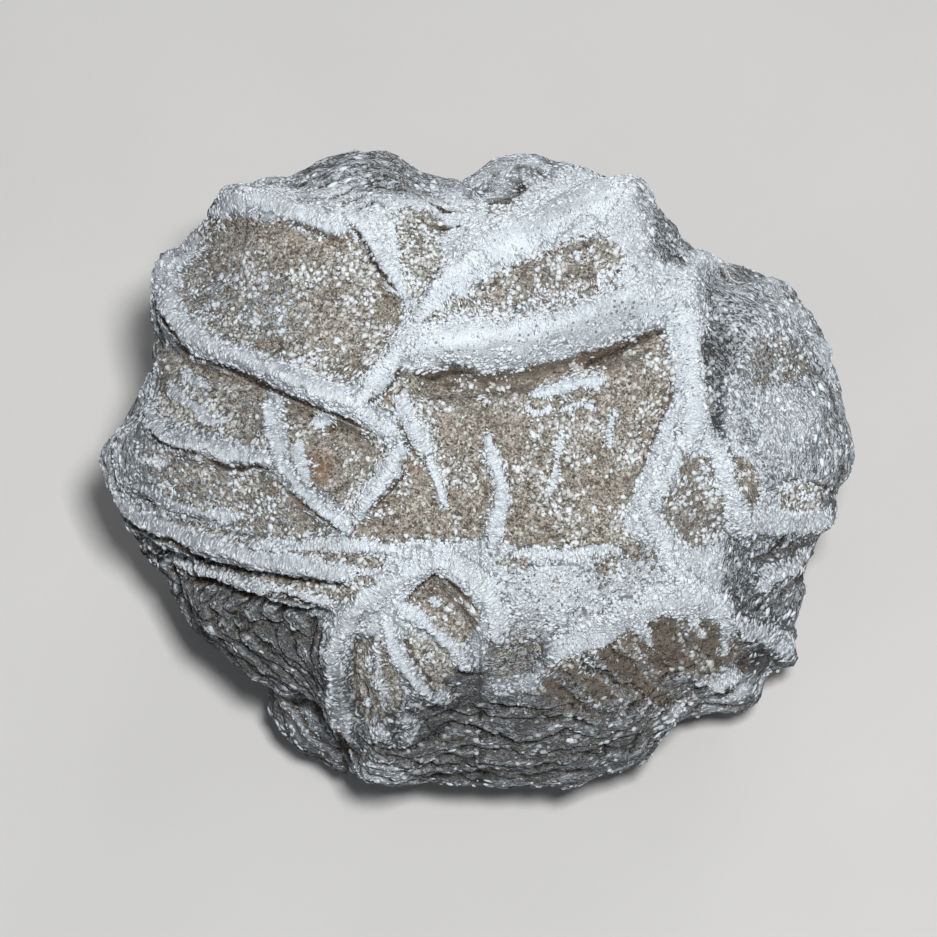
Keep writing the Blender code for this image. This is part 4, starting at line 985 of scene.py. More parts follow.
    Patch("dish_rib_4", ((12.6, -9.6), (13.2, -9.6), (14.0, -11.2), (15.2, -12.4), (14.6, -12.7),
        (13.3, -11.4)), 0.46, soft=0.5, grey=0.4),
    Patch("dish_streak", ((11.4, -13.2), (13.2, -12.8), (15.4, -13.6), (14.8, -14.8),
        (12.6, -14.6)), 0.66, soft=1.3, grey=0.6),
    Patch("dish_streak_low", ((7.6, -14.9), (9.6, -14.6), (11.6, -15.2), (10.6, -16.2),
        (8.4, -15.9)), 0.6, soft=1.0, grey=0.6),
    Patch("bottom_rough", ((-3.0, -15.0), (0.6, -14.6), (3.6, -14.2), (8.0, -16.2), (12.4, -15.4),
        (11.8, -17.6), (6.0, -20.6), (-3.0, -20.6), (-6.0, -18.4)), 0.78, 0.2, soft=1.6, grey=0.9,
        layers=1.4, dust_and_shade_amount=0.22),
    Patch("skirt_rough", ((-21.6, -7.2), (-18.4, -7.4), (-15.4, -8.2), (-11.0, -8.6),
        (-10.0, -10.6), (-10.4, -14.6), (-12.6, -15.0), (-15.0, -13.4), (-19.4, -9.6)), 0.8, 0.2,
        soft=1.2, grey=0.9, layers=1.4, dust_and_shade_amount=0.25),
    Patch("right_lobe_dish", ((17.8, 9.2), (19.6, 9.6), (21.0, 8.6), (22.2, 7.4), (21.8, 6.2),
        (20.2, 5.6), (18.4, 5.2), (17.2, 6.0), (17.2, 7.8)), 0.48, 0.0, 0.2, 2.0, 0.45),
    Patch("ledge_light", ((-21.6, 1.6), (-17.0, 0.8), (-12.0, -1.2), (-9.2, -3.6), (-14.0, -4.0),
        (-20.6, -1.4)), 0.38, soft=1.0, dust_and_shade_amount=-0.22),
    Patch("lobe_stain_1", ((16.2, 1.6), (17.2, 1.2), (18.2, 0.0), (18.6, -1.4), (17.6, -2.6),
        (16.8, -1.2), (16.2, 0.0)), 0.28, 0.1),
    Patch("lobe_stain_2", ((19.6, -0.7), (21.4, -0.5), (23.0, -0.9), (22.6, -2.4), (21.0, -2.8),
        (19.4, -2.2)), 0.28, 0.1),
    Patch("rim_cell", ((12.9, 1.6), (14.9, 1.2), (15.0, 0.0), (15.7, -1.2), (16.0, -3.2),
        (15.2, -4.6), (13.4, -4.9), (12.5, -3.8), (11.5, -2.6), (11.6, -1.2), (12.6, -0.2)), 0.42,
        0.26, 0.25, 0.9),
    Patch("rim_spot", ((12.2, 3.4), (13.0, 3.6), (13.3, 2.8), (12.6, 2.4)), 0.3, 0.15, 0.15, 0.4),
    Patch("rim_strip", ((14.3, 8.8), (15.8, 9.8), (17.0, 8.8), (16.4, 7.0), (15.9, 5.0),
        (15.8, 3.0), (16.0, 2.0), (15.2, 2.4), (14.9, 4.0), (14.5, 6.0)), 0.74, 0.02, 0.1, 0.8,
        0.66, dust_and_shade_amount=0.25),
    Patch("hump_pits", ((11.4, 17.8), (12.6, 17.4), (14.0, 15.6), (13.4, 14.4), (12.0, 13.6),
        (11.0, 14.4), (11.4, 16.0)), 0.82, 0.02, soft=0.9, grey=0.6),
    Patch("heel_grey", ((16.0, -4.6), (18.0, -5.6), (19.6, -5.6), (18.6, -8.6), (17.0, -9.4),
        (16.0, -7.4)), 0.8, 0.03, soft=1.2, grey=0.7, layers=0.4),
)

# Rust between the blades: centre (u, v), half sizes, strength.
RUST_SPOTS = (
    ((-12.9, -0.6), (0.7, 1.1), 0.9), ((-11.6, -1.9), (1.2, 0.6), 0.8),
    ((-6.2, 5.1), (1.3, 0.5), 0.8), ((-10.3, 0.6), (0.9, 1.2), 0.8),
    ((-4.4, 0.4), (0.9, 0.4), 0.6), ((-7.0, -2.0), (0.9, 0.5), 0.4),
    ((6.8, 7.6), (2.2, 0.5), 0.7), ((10.4, 8.9), (1.3, 0.4), 0.7), ((8.4, 6.8), (1.0, 0.4), 0.5),
    ((11.4, 4.2), (0.8, 0.7), 0.4), ((-15.6, 6.6), (1.6, 0.4), 0.5),
    ((11.4, -11.4), (3.4, 1.6), 0.35), ((10.8, 2.0), (0.6, 1.4), 0.4),
    ((-11.0, 15.2), (3.2, 0.7), 0.25),
)


# ------------------------------------------------------------------ the stone's skin
RIM_SEEDS = 11      # seeds of noise that each rim has to itself
CLEFT_SEEDS = 7     # seeds of noise that each cleft has to itself
DISC_REACH = 0.235  # reach of each disc of the skin's flat layout, of the sheet's width
DISC_MIDDLE = 0.25  # middle of the first disc; the second lies two of these further on


def read_points(mesh: bpy.types.Mesh) -> np.ndarray:
    """Read a mesh's points as rows."""
    flat = np.empty(len(mesh.vertices) * 3, np.float32)
    mesh.vertices.foreach_get("co", flat)
    return flat.reshape(-1, 3).astype(np.float64)


def write_points(mesh: bpy.types.Mesh, points: np.ndarray) -> None:
    """Write a mesh's points back."""
    mesh.vertices.foreach_set("co", points.astype(np.float32).ravel())
    mesh.update()


def read_normals(mesh: bpy.types.Mesh) -> np.ndarray:
    """Read the normals at a mesh's points as rows."""
    flat = np.empty(len(mesh.vertices) * 3, np.float32)
    mesh.vertex_normals.foreach_get("vector", flat)
    return flat.reshape(-1, 3).astype(np.float64)


def write_numbers(mesh: bpy.types.Mesh, name: str, values: np.ndarray) -> None:
    """Store a number at each of a mesh's points."""
    made = mesh.attributes.new(name, "FLOAT", "POINT")
    made.data.foreach_set("value", values.astype(np.float32))


def applied(thing: bpy.types.Object) -> bpy.types.Mesh:
    """Take an object's mesh with its modifiers applied, and remove the object."""
    bpy.context.view_layer.update()
    graph = bpy.context.evaluated_depsgraph_get()
    mesh = bpy.data.meshes.new_from_object(thing.evaluated_get(graph), depsgraph=graph)
    bpy.data.objects.remove(thing, do_unlink=True)
    return mesh


def eased(points: np.ndarray, edges: np.ndarray, rounds: int) -> np.ndarray:
    """Smooth points over a mesh's edges.

    Args:
        points: rows of coordinates, or of any numbers.
        edges: rows of two point numbers.
        rounds: how many times each point moves to the middle of its neighbours.

    Returns:
        The smoothed rows.
    """
    ends = np.concatenate((edges[:, 0], edges[:, 1]))
    others = np.concatenate((edges[:, 1], edges[:, 0]))
    count = np.maximum(np.bincount(ends, minlength=len(points)), 1)
    smooth = points.copy()
    for _ in range(rounds):
        for axis in range(points.shape[1]):
            total = np.bincount(ends, weights=smooth[others, axis], minlength=len(points))
            smooth[:, axis] = 0.5 * smooth[:, axis] + 0.5 * total / count
    return smooth


@dataclass
class StoneSkin:
    """The stone itself, with the fine form of its worn blades.

    Its grid is the size of the skin's faces before they are thinned, its dome the half sizes of
    the round form that the stone follows, and its layer steps the thickness of the layers in its
    sides and back, all in millimetres. The strokes are those of its crust: their gap keeps two
    rims' strokes apart, and their turn and reach are the sizes of one turn round the face and
    of the way out from its middle. The rounds are those of easing: the more there are, the
    broader is the form that they leave.
    """

    face: ShowFace
    finish: StoneFinish
    grid: float = 0.19
    easing: int = 5
    triangles: int = 190000
    dome: tuple[float, float, float] = (25.0, 21.0, 15.0)
    layer_step: float = 0.85
    back_layer_step: float = 1.7
    crack_depth: float = 0.72
    ledge_height: float = 0.24
    stroke_gap: float = 9.7
    stroke_turn: float = 22.0
    stroke_reach: float = 23.0
    weld: float = 1e-6
    face_thinning: float = 0.45
    far_facing: float = 0.05
    broad_rounds: int = 45
    fine_rounds: int = 6
    facing_rounds: int = 12
    layout_rounds: int = 60
    points: np.ndarray = field(default=None, repr=False)
    normals: np.ndarray = field(default=None, repr=False)
    corners: np.ndarray = field(default=None, repr=False)
    crust: np.ndarray = field(default=None, repr=False)
    hollow: np.ndarray = field(default=None, repr=False)
    dust: np.ndarray = field(default=None, repr=False)
    weather: np.ndarray = field(default=None, repr=False)
    edge: np.ndarray = field(default=None, repr=False)
    contour: np.ndarray = field(default=None, repr=False)
    flow: np.ndarray = field(default=None, repr=False)
    smooth: np.ndarray = field(default=None, repr=False)
    crack: np.ndarray = field(default=None, repr=False)

    def outward(self, points: np.ndarray) -> np.ndarray:
        """Give the outward direction at each point of the dome that the stone follows."""
        way = points / np.array(self.dome) ** 2
        return way / np.linalg.norm(way, axis=1)[:, None]

    def fine_mesh(self, node: bpy.types.Object) -> bpy.types.Mesh:
        """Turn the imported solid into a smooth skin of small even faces.

        Args:
            node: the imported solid.

        Returns:
            The skin, in the show face's millimetres.
        """
        mesh = bpy.data.meshes.new("fine_skin")
        welded = bmesh.new()
        welded.from_mesh(node.data)
        bmesh.ops.remove_doubles(welded, verts=welded.verts, dist=self.weld)
        welded.to_mesh(mesh)
        welded.free()
        mesh.transform(self.face.matrix().inverted())
        mesh.shade_smooth()
        thing = bpy.data.objects.new("fine_skin", mesh)
        bpy.context.scene.collection.objects.link(thing)
        rounder = thing.modifiers.new("rounder", "SUBSURF")
        rounder.levels = 1
        rounder.render_levels = 1
        even = thing.modifiers.new("even", "REMESH")
        even.mode = "VOXEL"
        even.voxel_size = self.grid
        ease = thing.modifiers.new("ease", "SMOOTH")
        ease.factor = 0.5
        ease.iterations = self.easing
        return applied(thing)

    def work(self, mesh: bpy.types.Mesh) -> None:
        """Sharpen the rims, clefts and layers of the blades, and roughen the skin."""
        points = read_points(mesh)
        outward = self.outward(points)
        facing = rise(read_normals(mesh)[:, 2], -0.15, 0.25)
        plan = points[:, :2].copy()
        lift = np.zeros(len(points))
        swell = np.zeros(len(points))
        covered = np.zeros(len(points))
        rugged = np.zeros(len(points))
        for (u, v), reach, push in SWELLINGS:
            swell += push * (1.0 - rise(np.hypot(plan[:, 0] - u, plan[:, 1] - v), 0.0, reach))
        for patch in PATCHES:
            near, share = patch.share(plan)
            lift[near] -= patch.sink * share
            rugged[near] = np.maximum(rugged[near], rise(patch.layers * share, 0.5, 1.0))
        for number, rim in enumerate(RIMS):
            near, height, cover, _, _ = rim.lift(plan, RIM_SEEDS * number)
            lift[near] = np.maximum(lift[near], lift[near] * 0.4 + 0.75 * height)
            covered[near] = np.maximum(covered[near], cover)
        for number, crevice in enumerate(CREVICES):
            near, depth, _ = crevice.sink(plan, CLEFT_SEEDS * number + 3)
            lift[near] -= depth
        lift *= facing
        lift += swell * rise(points[:, 2], -14.0, -9.0)
        crack = self.cracks(points, outward) * (1.0 - 0.9 * covered * facing)
        write_numbers(mesh, "crack", crack)
        lift -= self.crack_depth * crack
        ledges = lumpiness(points * (0.5, 0.5, 1.5), 0.9, 61) \
            + 0.5 * lumpiness(points * (0.7, 0.7, 1.4), 0.45, 62)
        lift += self.ledge_height * rugged * (1.0 - covered * facing) * ledges
        lift += 0.11 * lumpiness(points, 1.5, 1) + 0.085 * lumpiness(points, 0.75, 2)
        lift += 0.060 * lumpiness(points, 0.42, 3)
        write_points(mesh, points + outward * lift[:, None])

    def cracks(self, points: np.ndarray, outward: np.ndarray) -> np.ndarray:
        """Find the fine cracks between the thin layers of the stone's sides and back.

        Args:
            points: rows of (u, v, w).
            outward: the dome's outward direction at each point.

        Returns:
            How deep in a crack each point is, 0 to 1.
        """
        wander = 0.55 * lumpiness(points, 4.0, 31) + 0.24 * lumpiness(points, 1.4, 32) \
            + 0.10 * lumpiness(points, 0.6, 34)
        depth = np.clip(0.72 + 0.85 * lumpiness(points, 2.0, 33), 0.0, 1.0)
        side = 1.0 - rise(outward[:, 2], 0.30, 0.62)
        for patch in PATCHES:
            if patch.layers != 0.0:
                near, share = patch.share(points[:, :2])
                amount = patch.layers * share * rise(outward[near, 2], 0.0, 0.3)
                side[near] = np.maximum(side[near] * (1.0 + np.minimum(amount, 0.0)), amount)
        low = rise(-points[:, 1] - 0.35 * points[:, 0], 4.0, 12.0)
        sheets = (points[:, 2] + 0.15 * points[:, 0]) / self.layer_step + wander \
            + 0.55 * lumpiness(points, 2.4, 39) * (1.0 - low)
        place = np.abs(sheets % 1.0 - 0.5) * 2.0
        cut = (1.0 - rise(place, 0.08, 0.44)) * depth * side * (0.45 + 0.55 * low)
        back = 1.0 - rise(outward[:, 2], -0.75, -0.35)
        stack = points @ np.array((0.42, 0.86, 0.28)) / self.back_layer_step + 1.5 * wander \
            + 0.8 * lumpiness(points, 7.0, 37)
        place = np.abs(stack % 1.0 - 0.5) * 2.0
        back_cut = (1.0 - rise(place, 0.05, 0.40)) * depth \
            * rise(lumpiness(points, 6.0, 36), -0.45, 0.20)
        return cut * (1.0 - back) + 0.75 * back_cut * back

    def thinned(self, mesh: bpy.types.Mesh) -> bpy.types.Mesh:
        """Bring the skin down to its number of triangles, fewest on the back."""
        thing = bpy.data.objects.new("thin_skin", mesh)
        bpy.context.scene.collection.objects.link(thing)
        group = thing.vertex_groups.new(name="far")
        points = read_points(mesh)
        far = self.outward(points)[:, 2] < self.far_facing
        group.add(np.flatnonzero(far).tolist(), 1.0, "REPLACE")
        group.add(np.flatnonzero(~far).tolist(), self.face_thinning, "REPLACE")
        triangles = thing.modifiers.new("triangles", "TRIANGULATE")
        triangles.quad_method = "BEAUTY"
        thin = thing.modifiers.new("thin", "DECIMATE")
        thin.ratio = min(1.0, self.triangles / (2 * len(mesh.polygons)))
        thin.vertex_group = group.name
        return applied(thing)

    def read_form(self, mesh: bpy.types.Mesh) -> np.ndarray:
        """Keep the finished skin's points, normals and triangles, and give its edges."""
        self.points = read_points(mesh)
        self.normals = read_normals(mesh)
        self.crack = np.empty(len(self.points), np.float32)
        mesh.attributes["crack"].data.foreach_get("value", self.crack)
        corners = np.empty(len(mesh.loops), np.int32)
        mesh.loops.foreach_get("vertex_index", corners)
        self.corners = corners.reshape(-1, 3)
        edges = np.empty(len(mesh.edges) * 2, np.int32)
        mesh.edges.foreach_get("vertices", edges)
        return edges.reshape(-1, 2)

    def lay_patches(self, facing: np.ndarray) -> tuple[np.ndarray, ...]:
        """Lay the patches out over the finished skin.

        Args:
            facing: how far each point faces the front, 0 to 1.

        Returns:
            Share of crust, dirt and painted shade, greyness, dust and painted shade, ruggedness
            there.
        """
        count = len(self.points)
        crust, hollow, weather = np.full(count, 0.86), np.zeros(count), np.full(count, 0.12)
        # Faces turned away from the front start with painted shade.
        dust_and_shade_amount, rugged = 0.25 * (1.0 - facing), np.zeros(count)
        for patch in PATCHES:
            near, share = patch.share(self.points[:, :2])
            dust_and_shade_amount[near] += patch.dust_and_shade_amount * share * facing[near]
            rugged[near] = np.maximum(rugged[near], rise(patch.layers * share, 0.5, 1.0))
            crust[near] += (patch.crust - crust[near]) * share
            hollow[near] += (patch.hollow - hollow[near]) * share
            weather[near] += (patch.grey - weather[near]) * share
        return crust, hollow, weather, dust_and_shade_amount, rugged

    def lay_rims(self, crust: np.ndarray, hollow: np.ndarray, weather: np.ndarray
                 ) -> tuple[np.ndarray, np.ndarray]:
        """Lay crust along the rims, and keep which way it runs.

        Args:
            crust: the share of crust at each point, which is changed.
            hollow: the dirt and painted shade at each point, which is changed.
            weather: the greyness, partly painted shade, at each point, which is changed.

        Returns:
            How far each point lies on a rim, and its place along and across the strokes.
        """
        count = len(self.points)
        self.flow = np.zeros((count, 3))
        self.edge, self.smooth = np.zeros(count), np.zeros(count)
        self.contour = np.cross(self.outward(self.points), (0.0, 0.0, 1.0)) * 1.2
        brush = self.strokes()
        most = np.full(count, 0.05)
        for number, rim in enumerate(RIMS):
            near, _, cover, flow, place = rim.lift(self.points[:, :2], RIM_SEEDS * number)
            first = cover > most[near]
            brush[near[first], :2] = place[first]
            brush[near[first], 2] = self.stroke_gap * number
            most[near] = np.maximum(most[near], cover)
            self.smooth[near] = np.maximum(self.smooth[near], rim.smooth * cover)
            self.contour[near] *= 1.0 - cover[:, None]
            self.contour[near, :2] += flow * cover[:, None]
            self.edge[near] = np.maximum(self.edge[near], 1.0 - np.abs(2.0 * cover - 1.0))
            crust[near] = np.maximum(crust[near], 1.05 * cover)
            hollow[near] *= 1.0 - cover
            weather[near] *= 1.0 - 0.6 * cover
            self.flow[near, :2] += flow * cover[:, None]
        return most, brush

    def lay_clefts(self, crust: np.ndarray, hollow: np.ndarray) -> np.ndarray:
        """Lay dirt and painted shade in the clefts.

        Args:
            crust: the share of crust at each point, which is changed.
            hollow: the dirt and painted shade at each point, which is changed.

        Returns:
            The dirt and painted shade of the clefts alone.
        """
        deep = np.zeros(len(self.points))
        for number, crevice in enumerate(CREVICES):
            near, _, grime_and_shade = crevice.sink(self.points[:, :2], CLEFT_SEEDS * number + 3)
            hollow[near] = np.maximum(hollow[near], grime_and_shade)
            deep[near] = np.maximum(deep[near], grime_and_shade)
            crust[near] *= 1.0 - 0.9 * grime_and_shade
        return deep

    def strokes(self) -> np.ndarray:
        """Give the place of each point along and across the crust's strokes, off the rims."""
        u, v, w = self.points.T
        around = np.arctan2(u, v) * self.stroke_turn
        reach = np.hypot(u / self.dome[0], v / self.dome[1]) * self.stroke_reach
        return np.column_stack((around, reach, w))

    def rust(self) -> np.ndarray:
        """Give how rusty each point is, 0 to 1."""
        u, v, _ = self.points.T
        rusty = np.zeros(len(self.points))
        for (at_u, at_v), (half_u, half_v), strength in RUST_SPOTS:
            reach = np.hypot((u - at_u) / half_u, (v - at_v) / half_v)
            rusty = np.maximum(rusty, strength * (1.0 - rise(reach, 0.4, 1.3)))
        return rusty

    def mark(self, mesh: bpy.types.Mesh, edges: np.ndarray) -> None:
        """Work out where crust, sand, dirt, dust, rust and painted shade lie on the finished
        skin.
        """
        points, normals = self.points, self.normals
        relief = ((points - eased(points, edges, self.broad_rounds)) * normals).sum(axis=1)
        fine = ((points - eased(points, edges, self.fine_rounds)) * normals).sum(axis=1)
        facing = rise(eased(normals, edges, self.facing_rounds)[:, 2], -0.12, 0.16)
        # Painted shade: darker towards the bottom and towards the left, where less light falls.
        low = rise(-points[:, 1] - 0.25 * points[:, 0], 9.0, 17.0)
        shade_to_left = rise(-points[:, 0], 4.0, 22.0)
        clouds = lumpiness(points, 5.0, 41) * 0.6 + lumpiness(points, 2.0, 42) * 0.4
        crust, hollow, weather, dust_and_shade_amount, rugged = self.lay_patches(facing)
        most, brush = self.lay_rims(crust, hollow, weather)
        cleft = self.lay_clefts(crust, hollow)
        # The sides and back, which no patch or rim describes, take theirs from the relief.
        # Less crust towards the bottom, which is painted darker, and dirt with painted shade in
        # hollows.
        far_crust = np.clip(0.60 + 1.5 * relief + 0.20 * clouds - 0.16 * low, 0.08, 1.05)
        far_dirt_and_shade = 0.85 * rise(-relief, 0.14, 0.55)
        self.crust = far_crust + (crust + 0.5 * fine - far_crust) * facing
        self.hollow = far_dirt_and_shade + (hollow - far_dirt_and_shade) * facing
        # Small hollows get dirt and painted shade where the crust is open.
        closed = np.maximum(most, rise(crust, 0.55, 0.85))
        open_part = (0.5 + 0.5 * facing) * (1.0 - 0.85 * closed * facing) \
            * (1.0 - rise(cleft, 0.0, 0.4) * (1.0 - rise(cleft, 0.5, 0.8)))
        self.hollow = np.clip(self.hollow + 0.9 * rise(-fine, 0.03, 0.14) * open_part, 0.0, 1.0)
        self.crust -= 0.5 * rise(-fine, 0.02, 0.10) * open_part
        # Cracks between the layers are darkened with dirt and painted shade.
        crack = rise(self.crack, 0.10, 0.40)
        self.hollow = np.maximum(self.hollow, crack)
        self.crust *= 1.0 - 0.2 * crack
        # Hollows of rugged stretches get dirt and painted shade.
        self.hollow = np.maximum(self.hollow, 0.80 * rugged * (1.0 - most)
                                 * rise(-relief, 0.04, 0.22))
        # Raised layer edges of rugged stretches are painted less grey: a painted highlight.
        self.weather = weather - 0.22 * rugged * rise(relief, 0.02, 0.16)
        # Raised places are rubbed clean and painted lighter, and small hollows take more painted
        # shade.
        rubbed_and_lit = 0.34 * rise(most, 0.35, 0.90) * facing + 0.50 * rise(fine, 0.01, 0.13) \
            + 0.42 * rugged * rise(relief, 0.02, 0.16)
        self.dust = (0.70 * low + 0.58 * shade_to_left + dust_and_shade_amount + 0.20 * clouds) \
            * (1.0 - np.minimum(rubbed_and_lit, 0.75) + 0.35 * rise(-fine, 0.0, 0.10))
        self.dust = np.clip(self.dust, 0.0, 1.0)
        # Faces turned away from the front go mid grey, which is painted shade.
        self.weather = 0.62 + (self.weather - 0.62) * facing + 0.15 * clouds
        self.weather = np.clip(self.weather, 0.0, 1.0)
        for name, values in (("crust", self.crust), ("hollow", self.hollow),
                             ("dust", self.dust), ("weather", self.weather),
                             ("smooth", self.smooth), ("rust", self.rust() * facing)):
            write_numbers(mesh, name, values)
        made = mesh.attributes.new("brush", "FLOAT_VECTOR", "POINT")
        made.data.foreach_set("vector", brush.astype(np.float32).ravel())

    def lay_out(self, mesh: bpy.types.Mesh, edges: np.ndarray) -> None:
        """Lay the skin out flat as two discs, one for the show face and one for the back."""
        form = eased(self.points, edges, self.layout_rounds)
        way = form / np.array(self.dome)
        way /= np.linalg.norm(way, axis=1)[:, None]
        middle = way[self.corners].mean(axis=1)[:, 2]
        side = np.where(middle >= 0.0, 1.0, -1.0)
        corner_way = way[self.corners]
        spread = np.sqrt(2.0 / (1.0 + np.clip(corner_way[:, :, 2] * side[:, None], -0.6, 1.0)))
        flat = corner_way[:, :, :2] * (spread / math.sqrt(2.0))[:, :, None]
        place = flat * DISC_REACH + DISC_MIDDLE
        place[:, :, 0] += np.where(side > 0.0, 0.0, 2.0 * DISC_MIDDLE)[:, None]
        place[:, :, 1] = place[:, :, 1] * 2.0
        layer = mesh.uv_layers.new(name=BAKE_LAYER)
        layer.data.foreach_set("uv", place.reshape(-1).astype(np.float32))

    def build(self, node: bpy.types.Object) -> bpy.types.Object:
        """Make the skin and dress it.

        Args:
            node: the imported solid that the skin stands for.

        Returns:
            The skin.
        """
        fine = self.fine_mesh(node)
        self.work(fine)
        mesh = self.thinned(fine)
        edges = self.read_form(mesh)
        self.mark(mesh, edges)
        self.lay_out(mesh, edges)
        mesh.transform(self.face.matrix())
        points = read_points(mesh)
        points[:, 2] = np.maximum(points[:, 2], 0.0)
        write_points(mesh, points)
        mesh.name = "stone_skin"
        mesh.shade_smooth()
        mesh.materials.clear()
        mesh.materials.append(self.finish.material())
        skin = bpy.data.objects.new("stone_skin", mesh)
        bpy.context.scene.collection.objects.link(skin)
        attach(skin, BODY)
        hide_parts(STONE_NODE)
        return skin


# ------------------------------------------------------------------ lumps on the skin
CELL_ROW = 8000    # cells in a row of the grid that keeps lumps apart
LUMP_DISC = 0.46   # reach of a lump's flat layout, of its square


class LumpForm(Enum):
    """The plain bodies that small lumps are made from."""

    ROUND = "twenty faces"
    SHARP = "eight faces"

    def template(self) -> tuple[np.ndarray, np.ndarray]:
        """Give the body's points and triangles, with its poles above and below."""
        body = bmesh.new()
        if self is LumpForm.ROUND:
            bmesh.ops.create_icosphere(body, subdivisions=1, radius=1.0)
        else:
            bmesh.ops.create_uvsphere(body, u_segments=4, v_segments=2, radius=1.0)
        body.verts.ensure_lookup_table()
        points = np.array([point.co for point in body.verts])
        faces = np.array([[corner.index for corner in side.verts] for side in body.faces])
        body.free()
        return points, faces


